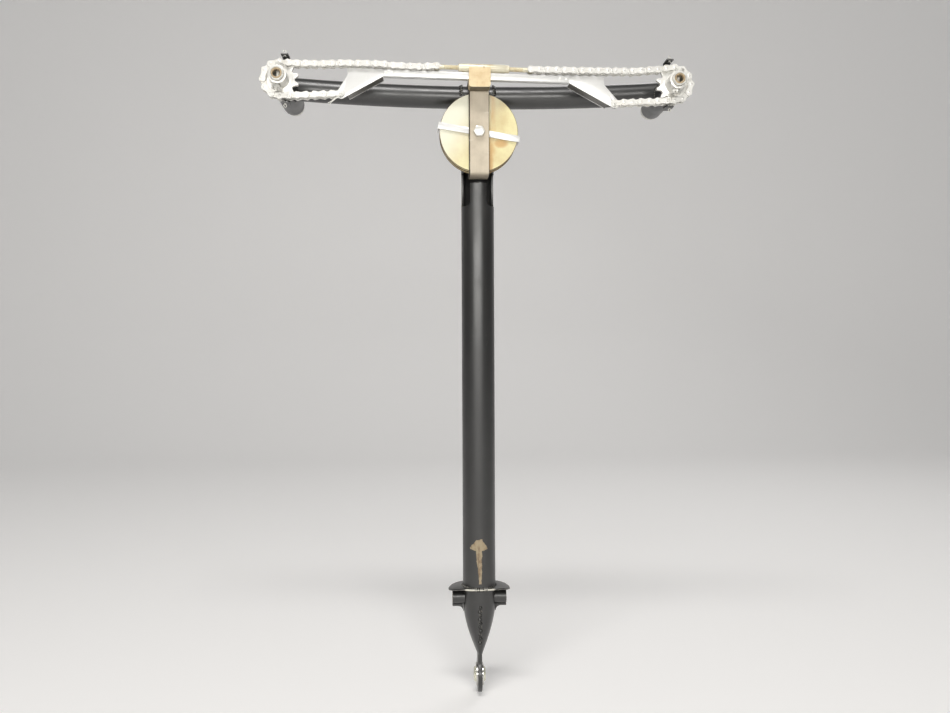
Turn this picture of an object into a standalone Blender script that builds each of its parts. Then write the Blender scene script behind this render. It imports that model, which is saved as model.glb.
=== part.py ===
"""Aircraft control column with two wheel shafts, a chain drive and cable pulleys.

Sizes are in metres. +Z is up, +X is to the right and -Y faces the pilot. The origin
is the middle of the pivot axis at the foot of the column. Run it with
blender --background --python part.py, or from Blender's text editor.
"""

import math

import bmesh
import bpy
from mathutils import Matrix, Vector

# Column and crossbar
PIVOT_TO_SPROCKET = 0.5868
COLUMN_RADIUS = 0.01905
COLUMN_WALL = 0.0021
CROSSBAR_RADIUS = 0.0127
CROSSBAR_WALL = 0.00165
CROSSBAR_DROP = 0.0038
CROSSBAR_BOW = 0.0080
HEAD_CUT_DEPTH = 0.0126
CABLE_SLOT_START = 0.0102
CABLE_SLOT_LEAN = 0.0018
CABLE_SLOT_LENGTH = 0.0340
CABLE_SLOT_REACH = 0.0040
CABLE_SLOT_CORNER = 0.0050

# Roller chain, 3/8 inch pitch
CHAIN_PITCH = 0.009525
ROLLER_RADIUS = 0.00254
INNER_LINK_WIDTH = 0.00477
LINK_PLATE = 0.00127
LINK_HEIGHT = 0.0080
LINK_SIDE_GAP = 0.00015
LINK_PIN_RADIUS = 0.00179
LINK_END_HALF_ARC = 80
UPPER_LEFT_PITCHES = 18
UPPER_RIGHT_PITCHES = 17
TURNBUCKLE_PITCHES = 11
LOWER_PITCHES = 7
CHAIN_PLANE = -0.0460

# Height of the slack upper run above the sprocket axis, at distances in from the wheel shaft
UPPER_LEFT_SLACK = ((0.0220, 0.0174), (0.0440, 0.0174), (0.0691, 0.0184), (0.1071, 0.0182),
                    (0.1301, 0.0162), (0.1531, 0.0156))
UPPER_RIGHT_SLACK = ((0.0211, 0.0160), (0.0491, 0.0137), (0.1231, 0.0138))
TURNBUCKLE_HEIGHT = 0.0156

# Sprockets
SPROCKET_TEETH = 12
TOOTH_THICKNESS = 0.0043
TOOTH_TIP_HEIGHT = 0.0022
TOOTH_TIP_HALF_ANGLE = math.radians(3.2)
SEAT_CLEARANCE = 0.00025
SEAT_HALF_ARC = math.radians(75)
HUB_RADIUS = 0.0100
HUB_FRONT_LENGTH = 0.0205
HUB_REAR_LENGTH = 0.0064
HUB_BOLT_SETBACK = 0.0058
HUB_BOLT_RADIUS = 0.00238
HUB_BOLT_FLATS = 0.0095
HUB_BOLT_HEAD = 0.0032
HUB_NUT_HEIGHT = 0.0045

# Wheel shafts and their housings
SHAFT_RADIUS = 0.00715
SHAFT_WALL = 0.0012
SHAFT_PROUD = 0.0045
SHAFT_TAIL = 0.0020
INSERT_WALL = 0.0016
INSERT_LENGTH = 0.0050
HOUSING_RADIUS = 0.0127
HOUSING_WALL = 0.0021
HOUSING_LENGTH = 0.0856
BUSH_FLANGE = 0.0014
BUSH_FLANGE_RADIUS = 0.0115
BUSH_LENGTH = 0.0140
COLLAR_RADIUS = 0.0110
COLLAR_LENGTH = 0.0080

# Chain guards
GUARD_THICKNESS = 0.0016
GUARD_WIDTH = 0.0080
GUARD_OFFSET = 0.0060
GUARD_RADIUS = 0.0253
GUARD_EAR_REACH = 0.0072
GUARD_PIN_INSET = 0.0030
GUARD_PIN_WIRE = 0.0005
GUARD_PIN_EYE = 0.0017
GUARD_PIN_LEG = 0.0030
GUARD_PIN_HOLE = 0.0013

# Tie link in the lower run
TIE_HEIGHT = 0.0062
TIE_TILT = math.radians(1.3)
TIE_BAR_SETBACK = {"left": 0.0464, "right": 0.0524}
TIE_BAR_TALL = 0.0072
TIE_BAR_DEEP = 0.0080
TIE_BAR_WALL = 0.0014
END_PLATE_THICKNESS = 0.0020
END_PLATE_TONGUE = 0.0120
END_PLATE_TOP = 0.0046
END_PLATE_SHOULDER = 0.0160
END_PLATE_LENGTH = 0.0392
END_PLATE_EYE = 0.0052
END_PLATE_FLANGE = 0.0160
END_PLATE_FLANGE_SHORT = 0.0070

# Turnbuckle in the upper run
BARREL_RADIUS = 0.0046
BARREL_LENGTH = 0.0570
BARREL_CHAMFER = 0.0008
BARREL_SIGHT_HOLE = 0.0010
SHANK_RADIUS = 0.0027
SHANK_INSIDE = 0.0140
EYE_RADIUS = 0.0034
EYE_THICKNESS = 0.0042

# Cable pulleys, their bolt and strap
PULLEY_TOP_DROP = 0.00355
PULLEY_RADIUS = 0.04445
PULLEY_WIDTH = 0.0080
PULLEY_SPACING = 0.0012
GROOVE_DEPTH = 0.0045
GROOVE_MOUTH = 0.0026
GROOVE_FLOOR = 0.0010
BEARING_RADIUS = 0.0095
BEARING_PROUD = 0.00045
PULLEY_BOLT_RADIUS = 0.003175
PULLEY_BOLT_FLATS = 0.0111
PULLEY_BOLT_HEAD = 0.0040
PULLEY_BOLT_TAIL = 0.0030
PULLEY_NUT_HEIGHT = 0.0056
SLEEVE_RADIUS = 0.0060
SLEEVE_PROUD = 0.0014
PULLEY_TO_HEAD = 0.0018
STRAP_WIDTH = 0.0230
STRAP_THICKNESS = 0.0025
STRAP_BEND = 0.0030
STRAP_TOP_REACH = 0.0030
STRAP_RIM_GAP = 0.00135
KEEPER_THICKNESS = 0.0012
KEEPER_WIDTH = 0.0073
KEEPER_RIM_GAP = 0.00095
KEEPER_TURN = math.radians(9.3)

# Guide block for the tie bar
BLOCK_WIDTH = 0.0240
BLOCK_TOP = 0.0090
BLOCK_FLOOR = 0.0086
BLOCK_FRONT_WALL = 0.0035
BLOCK_CORNER = 0.0030
BLOCK_CLEARANCE = 0.0005
GUIDE_SCREW_RADIUS = 0.0020
GUIDE_SCREW_HEAD_RADIUS = 0.0038
GUIDE_SCREW_HEAD = 0.0024
GUIDE_SCREW_DEPTH = 0.0110

# Pivot and foot
PIVOT_TUBE_RADIUS = 0.0080
PIVOT_TUBE_WALL = 0.00125
PIVOT_HALF_LENGTH = 0.0315
PIVOT_BUSH_LENGTH = 0.0110
SPINDLE_RADIUS = 0.00475
SPINDLE_BORE = 0.0033
SADDLE_OVERHANG = 0.0045
SADDLE_THICKNESS = 0.0022
SADDLE_HALF_DEPTH = 0.0206
SADDLE_TIP_DEPTH = 0.0030
SADDLE_DROOP = 0.0032
FOOT_STRAIGHT = 0.0050
FOOT_LENGTH = 0.0580
FOOT_TIP_HALF_WIDTH = 0.0038
FOOT_TAPER_POWER = 1.7
GUSSET_THICKNESS = 0.0060
GUSSET_ARC = 0.0060
GUSSET_DROP = 0.0020
LUG_THICKNESS = 0.0048
LUG_TONGUE = 0.0120
LUG_TONGUE_HALF_WIDTH = 0.0125
LUG_EYE_RADIUS = 0.0200
LUG_EYE_DROP = 0.0915
RACE_RADIUS = 0.0130
RACE_WIDTH = 0.0086
BALL_RADIUS = 0.0100
BALL_HALF_WIDTH = 0.0066
BALL_BORE = 0.0040

# Clearances and facet counts
FIT_GAP = 0.0003
RUNNING_GAP = 0.0004
CUT_MARGIN = 0.0050
EMPTY_SIZE = 0.02
MERGE_DISTANCE = 0.000001
SHARP_ANGLE = math.radians(35)
LARGE_ROUND = 28
MEDIUM_ROUND = 20
SMALL_ROUND = 14
TINY_ROUND = 12
PIN_HOLE_ROUND = 8
ROLLER_ROUND = 6
LINK_PIN_ROUND = 4
LINK_END_STEPS = 2
BEND_STEPS = 3
SEAT_STEPS = 3
SADDLE_STEPS = 8
FOOT_STEPS = 4
BALL_STEPS = 4
CROSSBAR_STEPS = 2

# Derived places
SPROCKET_RADIUS = CHAIN_PITCH / (2 * math.sin(math.pi / SPROCKET_TEETH))
WRAP_PITCHES = SPROCKET_TEETH // 2
UPPER_PITCHES = UPPER_LEFT_PITCHES + TURNBUCKLE_PITCHES + UPPER_RIGHT_PITCHES
WHEEL_X = UPPER_PITCHES * CHAIN_PITCH / 2
TURNBUCKLE_LEFT = -WHEEL_X + UPPER_LEFT_PITCHES * CHAIN_PITCH
TURNBUCKLE_RIGHT = WHEEL_X - UPPER_RIGHT_PITCHES * CHAIN_PITCH
TIE_PIN_X = WHEEL_X - LOWER_PITCHES * CHAIN_PITCH
TIE_BAR_REACH = {side: TIE_PIN_X - setback for side, setback in TIE_BAR_SETBACK.items()}
INNER_PLATE_START = INNER_LINK_WIDTH / 2
OUTER_PLATE_START = INNER_PLATE_START + LINK_PLATE + LINK_SIDE_GAP
CHAIN_HALF_WIDTH = OUTER_PLATE_START + LINK_PLATE
CROSSBAR_MIDDLE = PIVOT_TO_SPROCKET - CROSSBAR_DROP
PULLEY_Z = CROSSBAR_MIDDLE - PULLEY_TOP_DROP - PULLEY_RADIUS
REAR_PULLEY_BACK = -(HEAD_CUT_DEPTH + PULLEY_TO_HEAD)
REAR_PULLEY_Y = REAR_PULLEY_BACK - PULLEY_WIDTH / 2
FRONT_PULLEY_Y = REAR_PULLEY_Y - PULLEY_WIDTH - PULLEY_SPACING
KEEPER_BACK = FRONT_PULLEY_Y - PULLEY_WIDTH / 2 - BEARING_PROUD - FIT_GAP
STRAP_BACK = KEEPER_BACK - KEEPER_THICKNESS - FIT_GAP
STRAP_FRONT = STRAP_BACK - STRAP_THICKNESS
STRAP_FLOOR = PULLEY_Z - PULLEY_RADIUS - STRAP_RIM_GAP
STRAP_CEILING = CROSSBAR_MIDDLE + CROSSBAR_RADIUS + FIT_GAP
BLOCK_BACK = STRAP_FRONT - FIT_GAP
BLOCK_SLOT_FLOOR = (PIVOT_TO_SPROCKET + TIE_HEIGHT - TIE_BAR_TALL / 2 - BLOCK_CLEARANCE
                    - BLOCK_WIDTH / 2 * math.tan(TIE_TILT))
TIE_BAR_FRONT = CHAIN_PLANE - TIE_BAR_WALL - END_PLATE_THICKNESS / 2 - FIT_GAP
BLOCK_SLOT_FRONT = TIE_BAR_FRONT - BLOCK_CLEARANCE
BLOCK_SLOT_BACK = TIE_BAR_FRONT + TIE_BAR_DEEP + BLOCK_CLEARANCE
GUIDE_SCREW_Z = BLOCK_SLOT_FLOOR - BLOCK_FLOOR / 2
HUB_FRONT = CHAIN_PLANE - HUB_FRONT_LENGTH
HUB_REAR = CHAIN_PLANE + HUB_REAR_LENGTH
HUB_BOLT_Y = HUB_FRONT + HUB_BOLT_SETBACK
GUARD_FRONT = HUB_REAR + RUNNING_GAP
HOUSING_FRONT = GUARD_FRONT + GUARD_THICKNESS + BUSH_FLANGE + 2 * FIT_GAP
HOUSING_REAR = HOUSING_FRONT + HOUSING_LENGTH
COLLAR_FRONT = HOUSING_REAR + BUSH_FLANGE + 2 * FIT_GAP
SHAFT_FRONT = HUB_FRONT - SHAFT_PROUD
SHAFT_REAR = COLLAR_FRONT + COLLAR_LENGTH + SHAFT_TAIL
SADDLE_HALF_WIDTH = PIVOT_HALF_LENGTH + SADDLE_OVERHANG
SADDLE_TOP = PIVOT_TUBE_RADIUS + FIT_GAP + SADDLE_THICKNESS + SADDLE_DROOP
COLUMN_BOTTOM = SADDLE_TOP + FIT_GAP

SIDES = (("left", -1), ("right", 1))

# Finish of each kind of surface: colour, metallic, roughness
SATIN_BLACK = ((0.012, 0.012, 0.013), 0.0, 0.38)
BRIGHT_PLATE = ((0.78, 0.76, 0.70), 1.0, 0.30)
CHAIN_STEEL = ((0.72, 0.71, 0.68), 1.0, 0.35)
ALUMINIUM = ((0.82, 0.81, 0.78), 1.0, 0.38)
STRAP_STEEL = ((0.42, 0.38, 0.33), 0.9, 0.50)
PHENOLIC = ((0.62, 0.42, 0.20), 0.0, 0.55)
BRASS = ((0.72, 0.60, 0.36), 1.0, 0.35)
BRONZE = ((0.50, 0.34, 0.18), 1.0, 0.45)
BEARING_STEEL = ((0.60, 0.60, 0.60), 1.0, 0.25)
TAN_PLASTIC = ((0.36, 0.20, 0.10), 0.0, 0.50)


def clear_scene():
    """Remove whatever the open scene holds."""
    for obj in list(bpy.data.objects):
        bpy.data.objects.remove(obj, do_unlink=True)


# Outlines


def arc(centre, radius, start, end, steps):
    """Points on a circle between two angles in degrees, both ends included."""
    angles = [math.radians(start + (end - start) * step / steps) for step in range(steps + 1)]
    return [(centre[0] + radius * math.cos(a), centre[1] + radius * math.sin(a)) for a in angles]


def circle(centre, radius, segments):
    """Points around a full circle."""
    return arc(centre, radius, 0, 360, segments)[:-1]


def hexagon(flats):
    """Corners of a hexagon from its width across flats."""
    return circle((0, 0), flats / math.sqrt(3), 6)


def ring_profile(inner, outer, start, end):
    """Turned profile of a plain ring or tube."""
    return [(inner, start), (outer, start), (outer, end), (inner, end)]


def flanged_profile(inner, outer, flange, face, thickness, length):
    """Turned profile of a flanged bush whose flange starts at face and body points to +."""
    neck = face + math.copysign(thickness, length)
    return [(inner, face), (flange, face), (flange, neck), (outer, neck),
            (outer, neck + length), (inner, neck + length)]


# Solids


AXIS_TURNS = {
    "X": Matrix.Rotation(math.pi / 2, 4, "Y"),
    "Y": Matrix.Rotation(-math.pi / 2, 4, "X"),
    "Z": Matrix.Identity(4),
}

PLANE_POINTS = {
    "XY": lambda u, v, w: (u, v, w),
    "XZ": lambda u, v, w: (u, w, v),
    "YZ": lambda u, v, w: (w, u, v),
}


def turned(profile, axis="Z", centre=(0, 0, 0), segments=SMALL_ROUND):
    """Spin a closed profile of radius and height about an axis."""
    bm = bmesh.new()
    verts = [bm.verts.new((radius, 0, height)) for radius, height in profile]
    edges = []
    for first, second in zip(verts, verts[1:] + verts[:1]):
        if first.co.x > 0 or second.co.x > 0:
            edges.append(bm.edges.new((first, second)))
    bmesh.ops.spin(bm, geom=verts + edges, cent=(0, 0, 0), axis=(0, 0, 1),
                   angle=2 * math.pi, steps=segments)
    bmesh.ops.remove_doubles(bm, verts=bm.verts, dist=MERGE_DISTANCE)
    bm.transform(Matrix.Translation(centre) @ AXIS_TURNS[axis])
    return bm


def rod(radius, start, end, axis="Z", centre=(0, 0, 0), segments=SMALL_ROUND):
    """Solid round bar along an axis."""
    return turned([(0, start), (radius, start), (radius, end), (0, end)], axis, centre, segments)


def extruded(outline, plane, start, end):
    """Push a closed outline in a plane along the plane's normal."""
    bm = bmesh.new()
    to_space = PLANE_POINTS[plane]
    face = bm.faces.new([bm.verts.new(to_space(u, v, start)) for u, v in outline])
    grown = bmesh.ops.extrude_face_region(bm, geom=[face])["geom"]
    moved = [item for item in grown if isinstance(item, bmesh.types.BMVert)]
    bmesh.ops.translate(bm, verts=moved, vec=to_space(0, 0, end - start))
    return bm


def box(x_range, y_range, z_range):
    """Block between two limits on each axis."""
    (left, right), (front, back) = x_range, y_range
    outline = [(left, front), (right, front), (right, back), (left, back)]
    return extruded(outline, "XY", *z_range)


def lofted(rings, closed=False):
    """Skin equal rings of points, capped at both ends or joined round to the first."""
    bm = bmesh.new()
    loops = [[bm.verts.new(point) for point in ring] for ring in rings]
    pairs = list(zip(loops, loops[1:]))
    if closed:
        pairs.append((loops[-1], loops[0]))
    else:
        bm.faces.new(loops[0])
        bm.faces.new(loops[-1])
    for lower, upper in pairs:
        for here in range(len(lower)):
            after = (here + 1) % len(lower)
            bm.faces.new((lower[here], lower[after], upper[after], upper[here]))
    return bm


def merged(parts):
    """Put several bmeshes into one."""
    result = bmesh.new()
    for part in parts:
        scratch = bpy.data.meshes.new("scratch")
        part.to_mesh(scratch)
        part.free()
        result.from_mesh(scratch)
        bpy.data.meshes.remove(scratch)
    return result


# Objects


def make_material(name, finish):
    """Principled material with the piece's colour, metallic value and roughness."""
    colour, metallic, roughness = finish
    material = bpy.data.materials.new(name)
    material.use_nodes = True
    shader = material.node_tree.nodes["Principled BSDF"]
    shader.inputs["Base Color"].default_value = (*colour, 1)
    shader.inputs["Metallic"].default_value = metallic
    shader.inputs["Roughness"].default_value = roughness
    return material


def solid(name, bm, finish, parent):
    """Turn a bmesh into a named object with its own material."""
    bmesh.ops.recalc_face_normals(bm, faces=bm.faces)
    mesh = bpy.data.meshes.new(name)
    bm.to_mesh(mesh)
    bm.free()
    mesh.shade_smooth()
    mesh.set_sharp_from_angle(angle=SHARP_ANGLE)
    mesh.materials.append(make_material(name, finish))
    obj = bpy.data.objects.new(name, mesh)
    obj.parent = parent
    bpy.context.scene.collection.objects.link(obj)
    return obj


def combine(target, bm, operation):
    """Add a Boolean with a hidden tool object that moves with its target."""
    name = f"{target.name}_tool_{len(target.modifiers)}"
    tool = solid(name, bm, SATIN_BLACK, target.parent)
    tool.hide_render = True
    tool.display_type = "WIRE"
    modifier = target.modifiers.new(name, "BOOLEAN")
    modifier.operation = operation
    modifier.solver = "EXACT"
    modifier.object = tool


def cut(target, *tools):
    """Take each tool's volume out of the target."""
    for bm in tools:
        combine(target, bm, "DIFFERENCE")


def weld(target, *tools):
    """Add each tool's volume to the target."""
    for bm in tools:
        combine(target, bm, "UNION")


def empty(name, location, parent=None):
    """Empty on a joint axis that carries the pieces of one moving body."""
    obj = bpy.data.objects.new(name, None)
    obj.empty_display_size = EMPTY_SIZE
    obj.location = location
    obj.parent = parent
    bpy.context.scene.collection.objects.link(obj)
    return obj


def tilted_frame(name, height, parent):
    """Empty in the chain plane, turned to the slope of the run."""
    frame = empty(name, (0, CHAIN_PLANE, PIVOT_TO_SPROCKET + height), parent)
    frame.rotation_euler.y = TIE_TILT
    return frame


# Pivot and foot


def saddle_height(x):
    """Top of the saddle plate, flat under the column and drooping past it."""
    past = max(0.0, abs(x) - COLUMN_RADIUS) / (SADDLE_HALF_WIDTH - COLUMN_RADIUS)
    return SADDLE_TOP - SADDLE_DROOP * past ** 2


def saddle_depth(x):
    """Half depth of the saddle plate, an oval that ends in blunt tips."""
    share = math.sqrt(max(0.0, 1 - (x / SADDLE_HALF_WIDTH) ** 2))
    return SADDLE_TIP_DEPTH + (SADDLE_HALF_DEPTH - SADDLE_TIP_DEPTH) * share


def foot_half_width(z):
    """Half width of the pinched foot at a height below the pivot."""
    share = min(1.0, max(0.0, (-FOOT_STRAIGHT - z) / FOOT_LENGTH))
    return COLUMN_RADIUS - (COLUMN_RADIUS - FOOT_TIP_HALF_WIDTH) * share ** FOOT_TAPER_POWER


def foot_ring(z, inset):
    """Oval section of the foot, narrowed by an inset."""
    wide, deep = foot_half_width(z) - inset, COLUMN_RADIUS - inset
    angles = [2 * math.pi * step / MEDIUM_ROUND for step in range(MEDIUM_ROUND)]
    return [(wide * math.cos(a), deep * math.sin(a), z) for a in angles]


def build_pivot(root, column):
    """Spindle that stays on the airframe, and the tube and bushes that swing on it."""
    reach = PIVOT_HALF_LENGTH
    solid("pivot_spindle", turned(ring_profile(SPINDLE_BORE, SPINDLE_RADIUS, -reach, reach), "X"),
          BEARING_STEEL, root)
    bore = PIVOT_TUBE_RADIUS - PIVOT_TUBE_WALL
    tube = ring_profile(bore, PIVOT_TUBE_RADIUS, -reach, reach)
    solid("pivot_tube", turned(tube, "X", segments=MEDIUM_ROUND), SATIN_BLACK, column)
    for side, sign in SIDES:
        ends = sorted((sign * reach, sign * (reach - PIVOT_BUSH_LENGTH)))
        profile = ring_profile(SPINDLE_RADIUS + FIT_GAP, bore - FIT_GAP, *ends)
        solid(f"pivot_bush_{side}", turned(profile, "X"), BRONZE, column)


def build_saddle(column):
    """Arched oval plate between the column tube and the foot."""
    rings = []
    for step in range(-SADDLE_STEPS, SADDLE_STEPS + 1):
        x = SADDLE_HALF_WIDTH * step / SADDLE_STEPS
        depth, top = saddle_depth(x), saddle_height(x)
        rings.append([(x, -depth, top - SADDLE_THICKNESS), (x, depth, top - SADDLE_THICKNESS),
                      (x, depth, top), (x, -depth, top)])
    saddle = solid("base_saddle", lofted(rings), SATIN_BLACK, column)
    bore = COLUMN_RADIUS - COLUMN_WALL
    cut(saddle, rod(bore, 0, SADDLE_TOP + CUT_MARGIN, segments=MEDIUM_ROUND))


def build_foot(column):
    """Tube pinched flat to a narrow end that grips the lug."""
    top = SADDLE_TOP - SADDLE_THICKNESS - FIT_GAP
    bottom = -FOOT_STRAIGHT - FOOT_LENGTH
    rise = FOOT_LENGTH / FOOT_STEPS
    heights = [bottom + rise * step for step in range(FOOT_STEPS + 1)]
    outer = [foot_ring(z, 0) for z in heights + [top]]
    inner = [foot_ring(z, COLUMN_WALL) for z in [top] + heights[:1:-1]]
    foot = solid("tapered_foot", lofted(outer + inner), SATIN_BLACK, column)
    cut(foot,
        rod(PIVOT_TUBE_RADIUS + FIT_GAP, -2 * COLUMN_RADIUS, 2 * COLUMN_RADIUS, "X",
            segments=MEDIUM_ROUND),
        box((-LUG_THICKNESS / 2 - FIT_GAP, LUG_THICKNESS / 2 + FIT_GAP),
            (-LUG_TONGUE_HALF_WIDTH - FIT_GAP, LUG_TONGUE_HALF_WIDTH + FIT_GAP),
            (bottom - CUT_MARGIN, bottom + LUG_TONGUE + FIT_GAP)))


def build_gussets(column):
    """Webs with a hollow lower edge under each end of the pivot tube."""
    top = -PIVOT_TUBE_RADIUS - FIT_GAP
    rim = top - GUSSET_DROP
    centre_z = rim - GUSSET_ARC
    inner = [(foot_half_width(z) + FIT_GAP, z) for z in (top, (top + centre_z) / 2, centre_z)]
    centre_x = inner[-1][0] + 2 * FIT_GAP + GUSSET_ARC
    for side, sign in SIDES:
        outline = inner + arc((centre_x, centre_z), GUSSET_ARC, 180, 90, 4)
        outline += [(PIVOT_HALF_LENGTH, rim), (PIVOT_HALF_LENGTH, top)]
        mirrored = [(sign * x, z) for x, z in outline]
        half = GUSSET_THICKNESS / 2
        solid(f"pivot_gusset_{side}", extruded(mirrored, "XZ", -half, half), SATIN_BLACK, column)


def build_lug(column, ball):
    """Lug under the foot with its race, and the ball that turns in the race."""
    bottom = -FOOT_STRAIGHT - FOOT_LENGTH
    half = LUG_THICKNESS / 2
    lean = math.degrees(math.asin(LUG_TONGUE_HALF_WIDTH / LUG_EYE_RADIUS))
    outline = [(-LUG_TONGUE_HALF_WIDTH, bottom + LUG_TONGUE)]
    outline += arc((0, -LUG_EYE_DROP), LUG_EYE_RADIUS, 90 + lean, 450 - lean, 20)
    outline.append((LUG_TONGUE_HALF_WIDTH, bottom + LUG_TONGUE))
    lug = solid("foot_lug", extruded(outline, "YZ", -half, half), SATIN_BLACK, column)
    centre = (0, 0, -LUG_EYE_DROP)
    cut(lug, rod(RACE_RADIUS + FIT_GAP, -CUT_MARGIN, CUT_MARGIN, "X", centre, MEDIUM_ROUND))

    race_half = RACE_WIDTH / 2
    cup_edge = math.sqrt((BALL_RADIUS + FIT_GAP) ** 2 - race_half ** 2)
    race = [(cup_edge, -race_half), (RACE_RADIUS, -race_half), (RACE_RADIUS, race_half),
            (cup_edge, race_half), (BALL_RADIUS + FIT_GAP, 0)]
    solid("foot_bearing_race", turned(race, "X", centre, MEDIUM_ROUND), BEARING_STEEL, column)

    heights = [BALL_HALF_WIDTH * (2 * step / BALL_STEPS - 1) for step in range(BALL_STEPS + 1)]
    profile = [(math.sqrt(BALL_RADIUS ** 2 - h ** 2), h) for h in heights]
    profile += [(BALL_BORE, BALL_HALF_WIDTH), (BALL_BORE, -BALL_HALF_WIDTH)]
    solid("foot_ball", turned(profile, "X"), BEARING_STEEL, ball)


# Column and crossbar


def crossbar_height(x):
    """Height of the bowed crossbar's centre line."""
    return CROSSBAR_MIDDLE + CROSSBAR_BOW * (x / WHEEL_X) ** 2


def crossbar_rings(radius):
    """Rings of the bowed crossbar from left to right."""
    stations = [WHEEL_X * step / CROSSBAR_STEPS
                for step in range(-CROSSBAR_STEPS, CROSSBAR_STEPS + 1)]
    angles = [2 * math.pi * step / MEDIUM_ROUND for step in range(MEDIUM_ROUND)]
    return [[(x, radius * math.cos(a), crossbar_height(x) + radius * math.sin(a)) for a in angles]
            for x in stations]


def build_column_tube(column):
    """Main tube, open at the head for the pulleys and slotted for their cables."""
    bore = COLUMN_RADIUS - COLUMN_WALL
    profile = ring_profile(bore, COLUMN_RADIUS, COLUMN_BOTTOM, CROSSBAR_MIDDLE)
    tube = solid("column_tube", turned(profile, segments=LARGE_ROUND), SATIN_BLACK, column)
    past = COLUMN_RADIUS + CUT_MARGIN
    notch_floor = STRAP_FLOOR + FIT_GAP
    slot_floor = notch_floor - CABLE_SLOT_LENGTH
    slots = []
    for _, sign in SIDES:
        outline = [(CABLE_SLOT_START - CABLE_SLOT_LEAN, notch_floor + CUT_MARGIN)]
        outline += arc((CABLE_SLOT_START + CABLE_SLOT_CORNER, slot_floor + CABLE_SLOT_CORNER),
                       CABLE_SLOT_CORNER, 180, 270, 4)
        outline += [(past, slot_floor), (past, notch_floor + CUT_MARGIN)]
        mirrored = [(sign * x, z) for x, z in outline]
        slots.append(extruded(mirrored, "XZ", -past, CABLE_SLOT_REACH))
    cut(tube,
        rod(CROSSBAR_RADIUS + FIT_GAP, -past, past, "X", (0, 0, CROSSBAR_MIDDLE), MEDIUM_ROUND),
        box((-past, past), (-past, -HEAD_CUT_DEPTH), (notch_floor, CROSSBAR_MIDDLE + CUT_MARGIN)),
        rod(SLEEVE_RADIUS + FIT_GAP, 0, past, "Y", (0, 0, PULLEY_Z), SMALL_ROUND),
        *slots)


def build_crossbar(column):
    """Bowed tube with its ends coped round the shaft housings."""
    outer = crossbar_rings(CROSSBAR_RADIUS)
    inner = crossbar_rings(CROSSBAR_RADIUS - CROSSBAR_WALL)
    bar = solid("crossbar", lofted(outer + inner[::-1], closed=True), SATIN_BLACK, column)
    past = 2 * HOUSING_RADIUS
    for _, sign in SIDES:
        centre = (sign * WHEEL_X, 0, PIVOT_TO_SPROCKET)
        ends = sorted((sign * (WHEEL_X - HOUSING_RADIUS / 2), sign * (WHEEL_X + past)))
        cut(bar, rod(HOUSING_RADIUS + FIT_GAP, -past, past, "Y", centre, MEDIUM_ROUND),
            box(ends, (-past, past), (PIVOT_TO_SPROCKET - past, PIVOT_TO_SPROCKET + past)))


# Pulley head


def build_strap(column):
    """Bent strap that carries the front of the pulley bolt."""
    ceiling, roof = STRAP_CEILING, STRAP_CEILING + STRAP_THICKNESS
    floor, sole = STRAP_FLOOR, STRAP_FLOOR - STRAP_THICKNESS
    bend = STRAP_BEND
    outline = [(0, sole)]
    outline += arc((STRAP_FRONT + bend, sole + bend), bend, 270, 180, BEND_STEPS)
    outline += arc((STRAP_FRONT + bend, roof - bend), bend, 180, 90, BEND_STEPS)
    outline += [(STRAP_TOP_REACH, roof), (STRAP_TOP_REACH, ceiling), (STRAP_BACK, ceiling),
                (STRAP_BACK, floor), (0, floor)]
    half = STRAP_WIDTH / 2
    strap = solid("head_strap", extruded(outline, "YZ", -half, half), STRAP_STEEL, column)
    cut(strap,
        rod(COLUMN_RADIUS + FIT_GAP, sole - CUT_MARGIN, floor + CUT_MARGIN, segments=LARGE_ROUND),
        rod(PULLEY_BOLT_RADIUS + FIT_GAP, STRAP_FRONT - CUT_MARGIN, STRAP_BACK + CUT_MARGIN, "Y",
            (0, 0, PULLEY_Z), TINY_ROUND),
        rod(GUIDE_SCREW_RADIUS + FIT_GAP, STRAP_FRONT - CUT_MARGIN, STRAP_BACK + CUT_MARGIN, "Y",
            (0, 0, GUIDE_SCREW_Z), TINY_ROUND))


def build_keeper(column):
    """Bright strip in front of the pulleys whose ends keep the cables in the grooves."""
    outer = PULLEY_RADIUS + KEEPER_RIM_GAP + KEEPER_THICKNESS
    inner = outer - KEEPER_THICKNESS
    front, back = KEEPER_BACK - KEEPER_THICKNESS, REAR_PULLEY_BACK
    outline = [(-outer, front), (outer, front), (outer, back), (inner, back),
               (inner, KEEPER_BACK), (-inner, KEEPER_BACK), (-inner, back), (-outer, back)]
    bm = extruded(outline, "XY", -KEEPER_WIDTH / 2, KEEPER_WIDTH / 2)
    bm.transform(Matrix.Translation((0, 0, PULLEY_Z)) @ Matrix.Rotation(KEEPER_TURN, 4, "Y"))
    keeper = solid("cable_keeper", bm, ALUMINIUM, column)
    cut(keeper, rod(PULLEY_BOLT_RADIUS + FIT_GAP, front - CUT_MARGIN, KEEPER_BACK + CUT_MARGIN,
                    "Y", (0, 0, PULLEY_Z), TINY_ROUND))


def hex_bolt(radius, flats, head, start, end, turn):
    """Hexagon bolt along +Y whose head ends at start."""
    shank = rod(radius, start - head / 2, end, "Y", segments=TINY_ROUND)
    cap = extruded(hexagon(flats), "XZ", start - head, start)
    cap.transform(Matrix.Rotation(turn, 4, "Y"))
    return shank, cap


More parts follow.
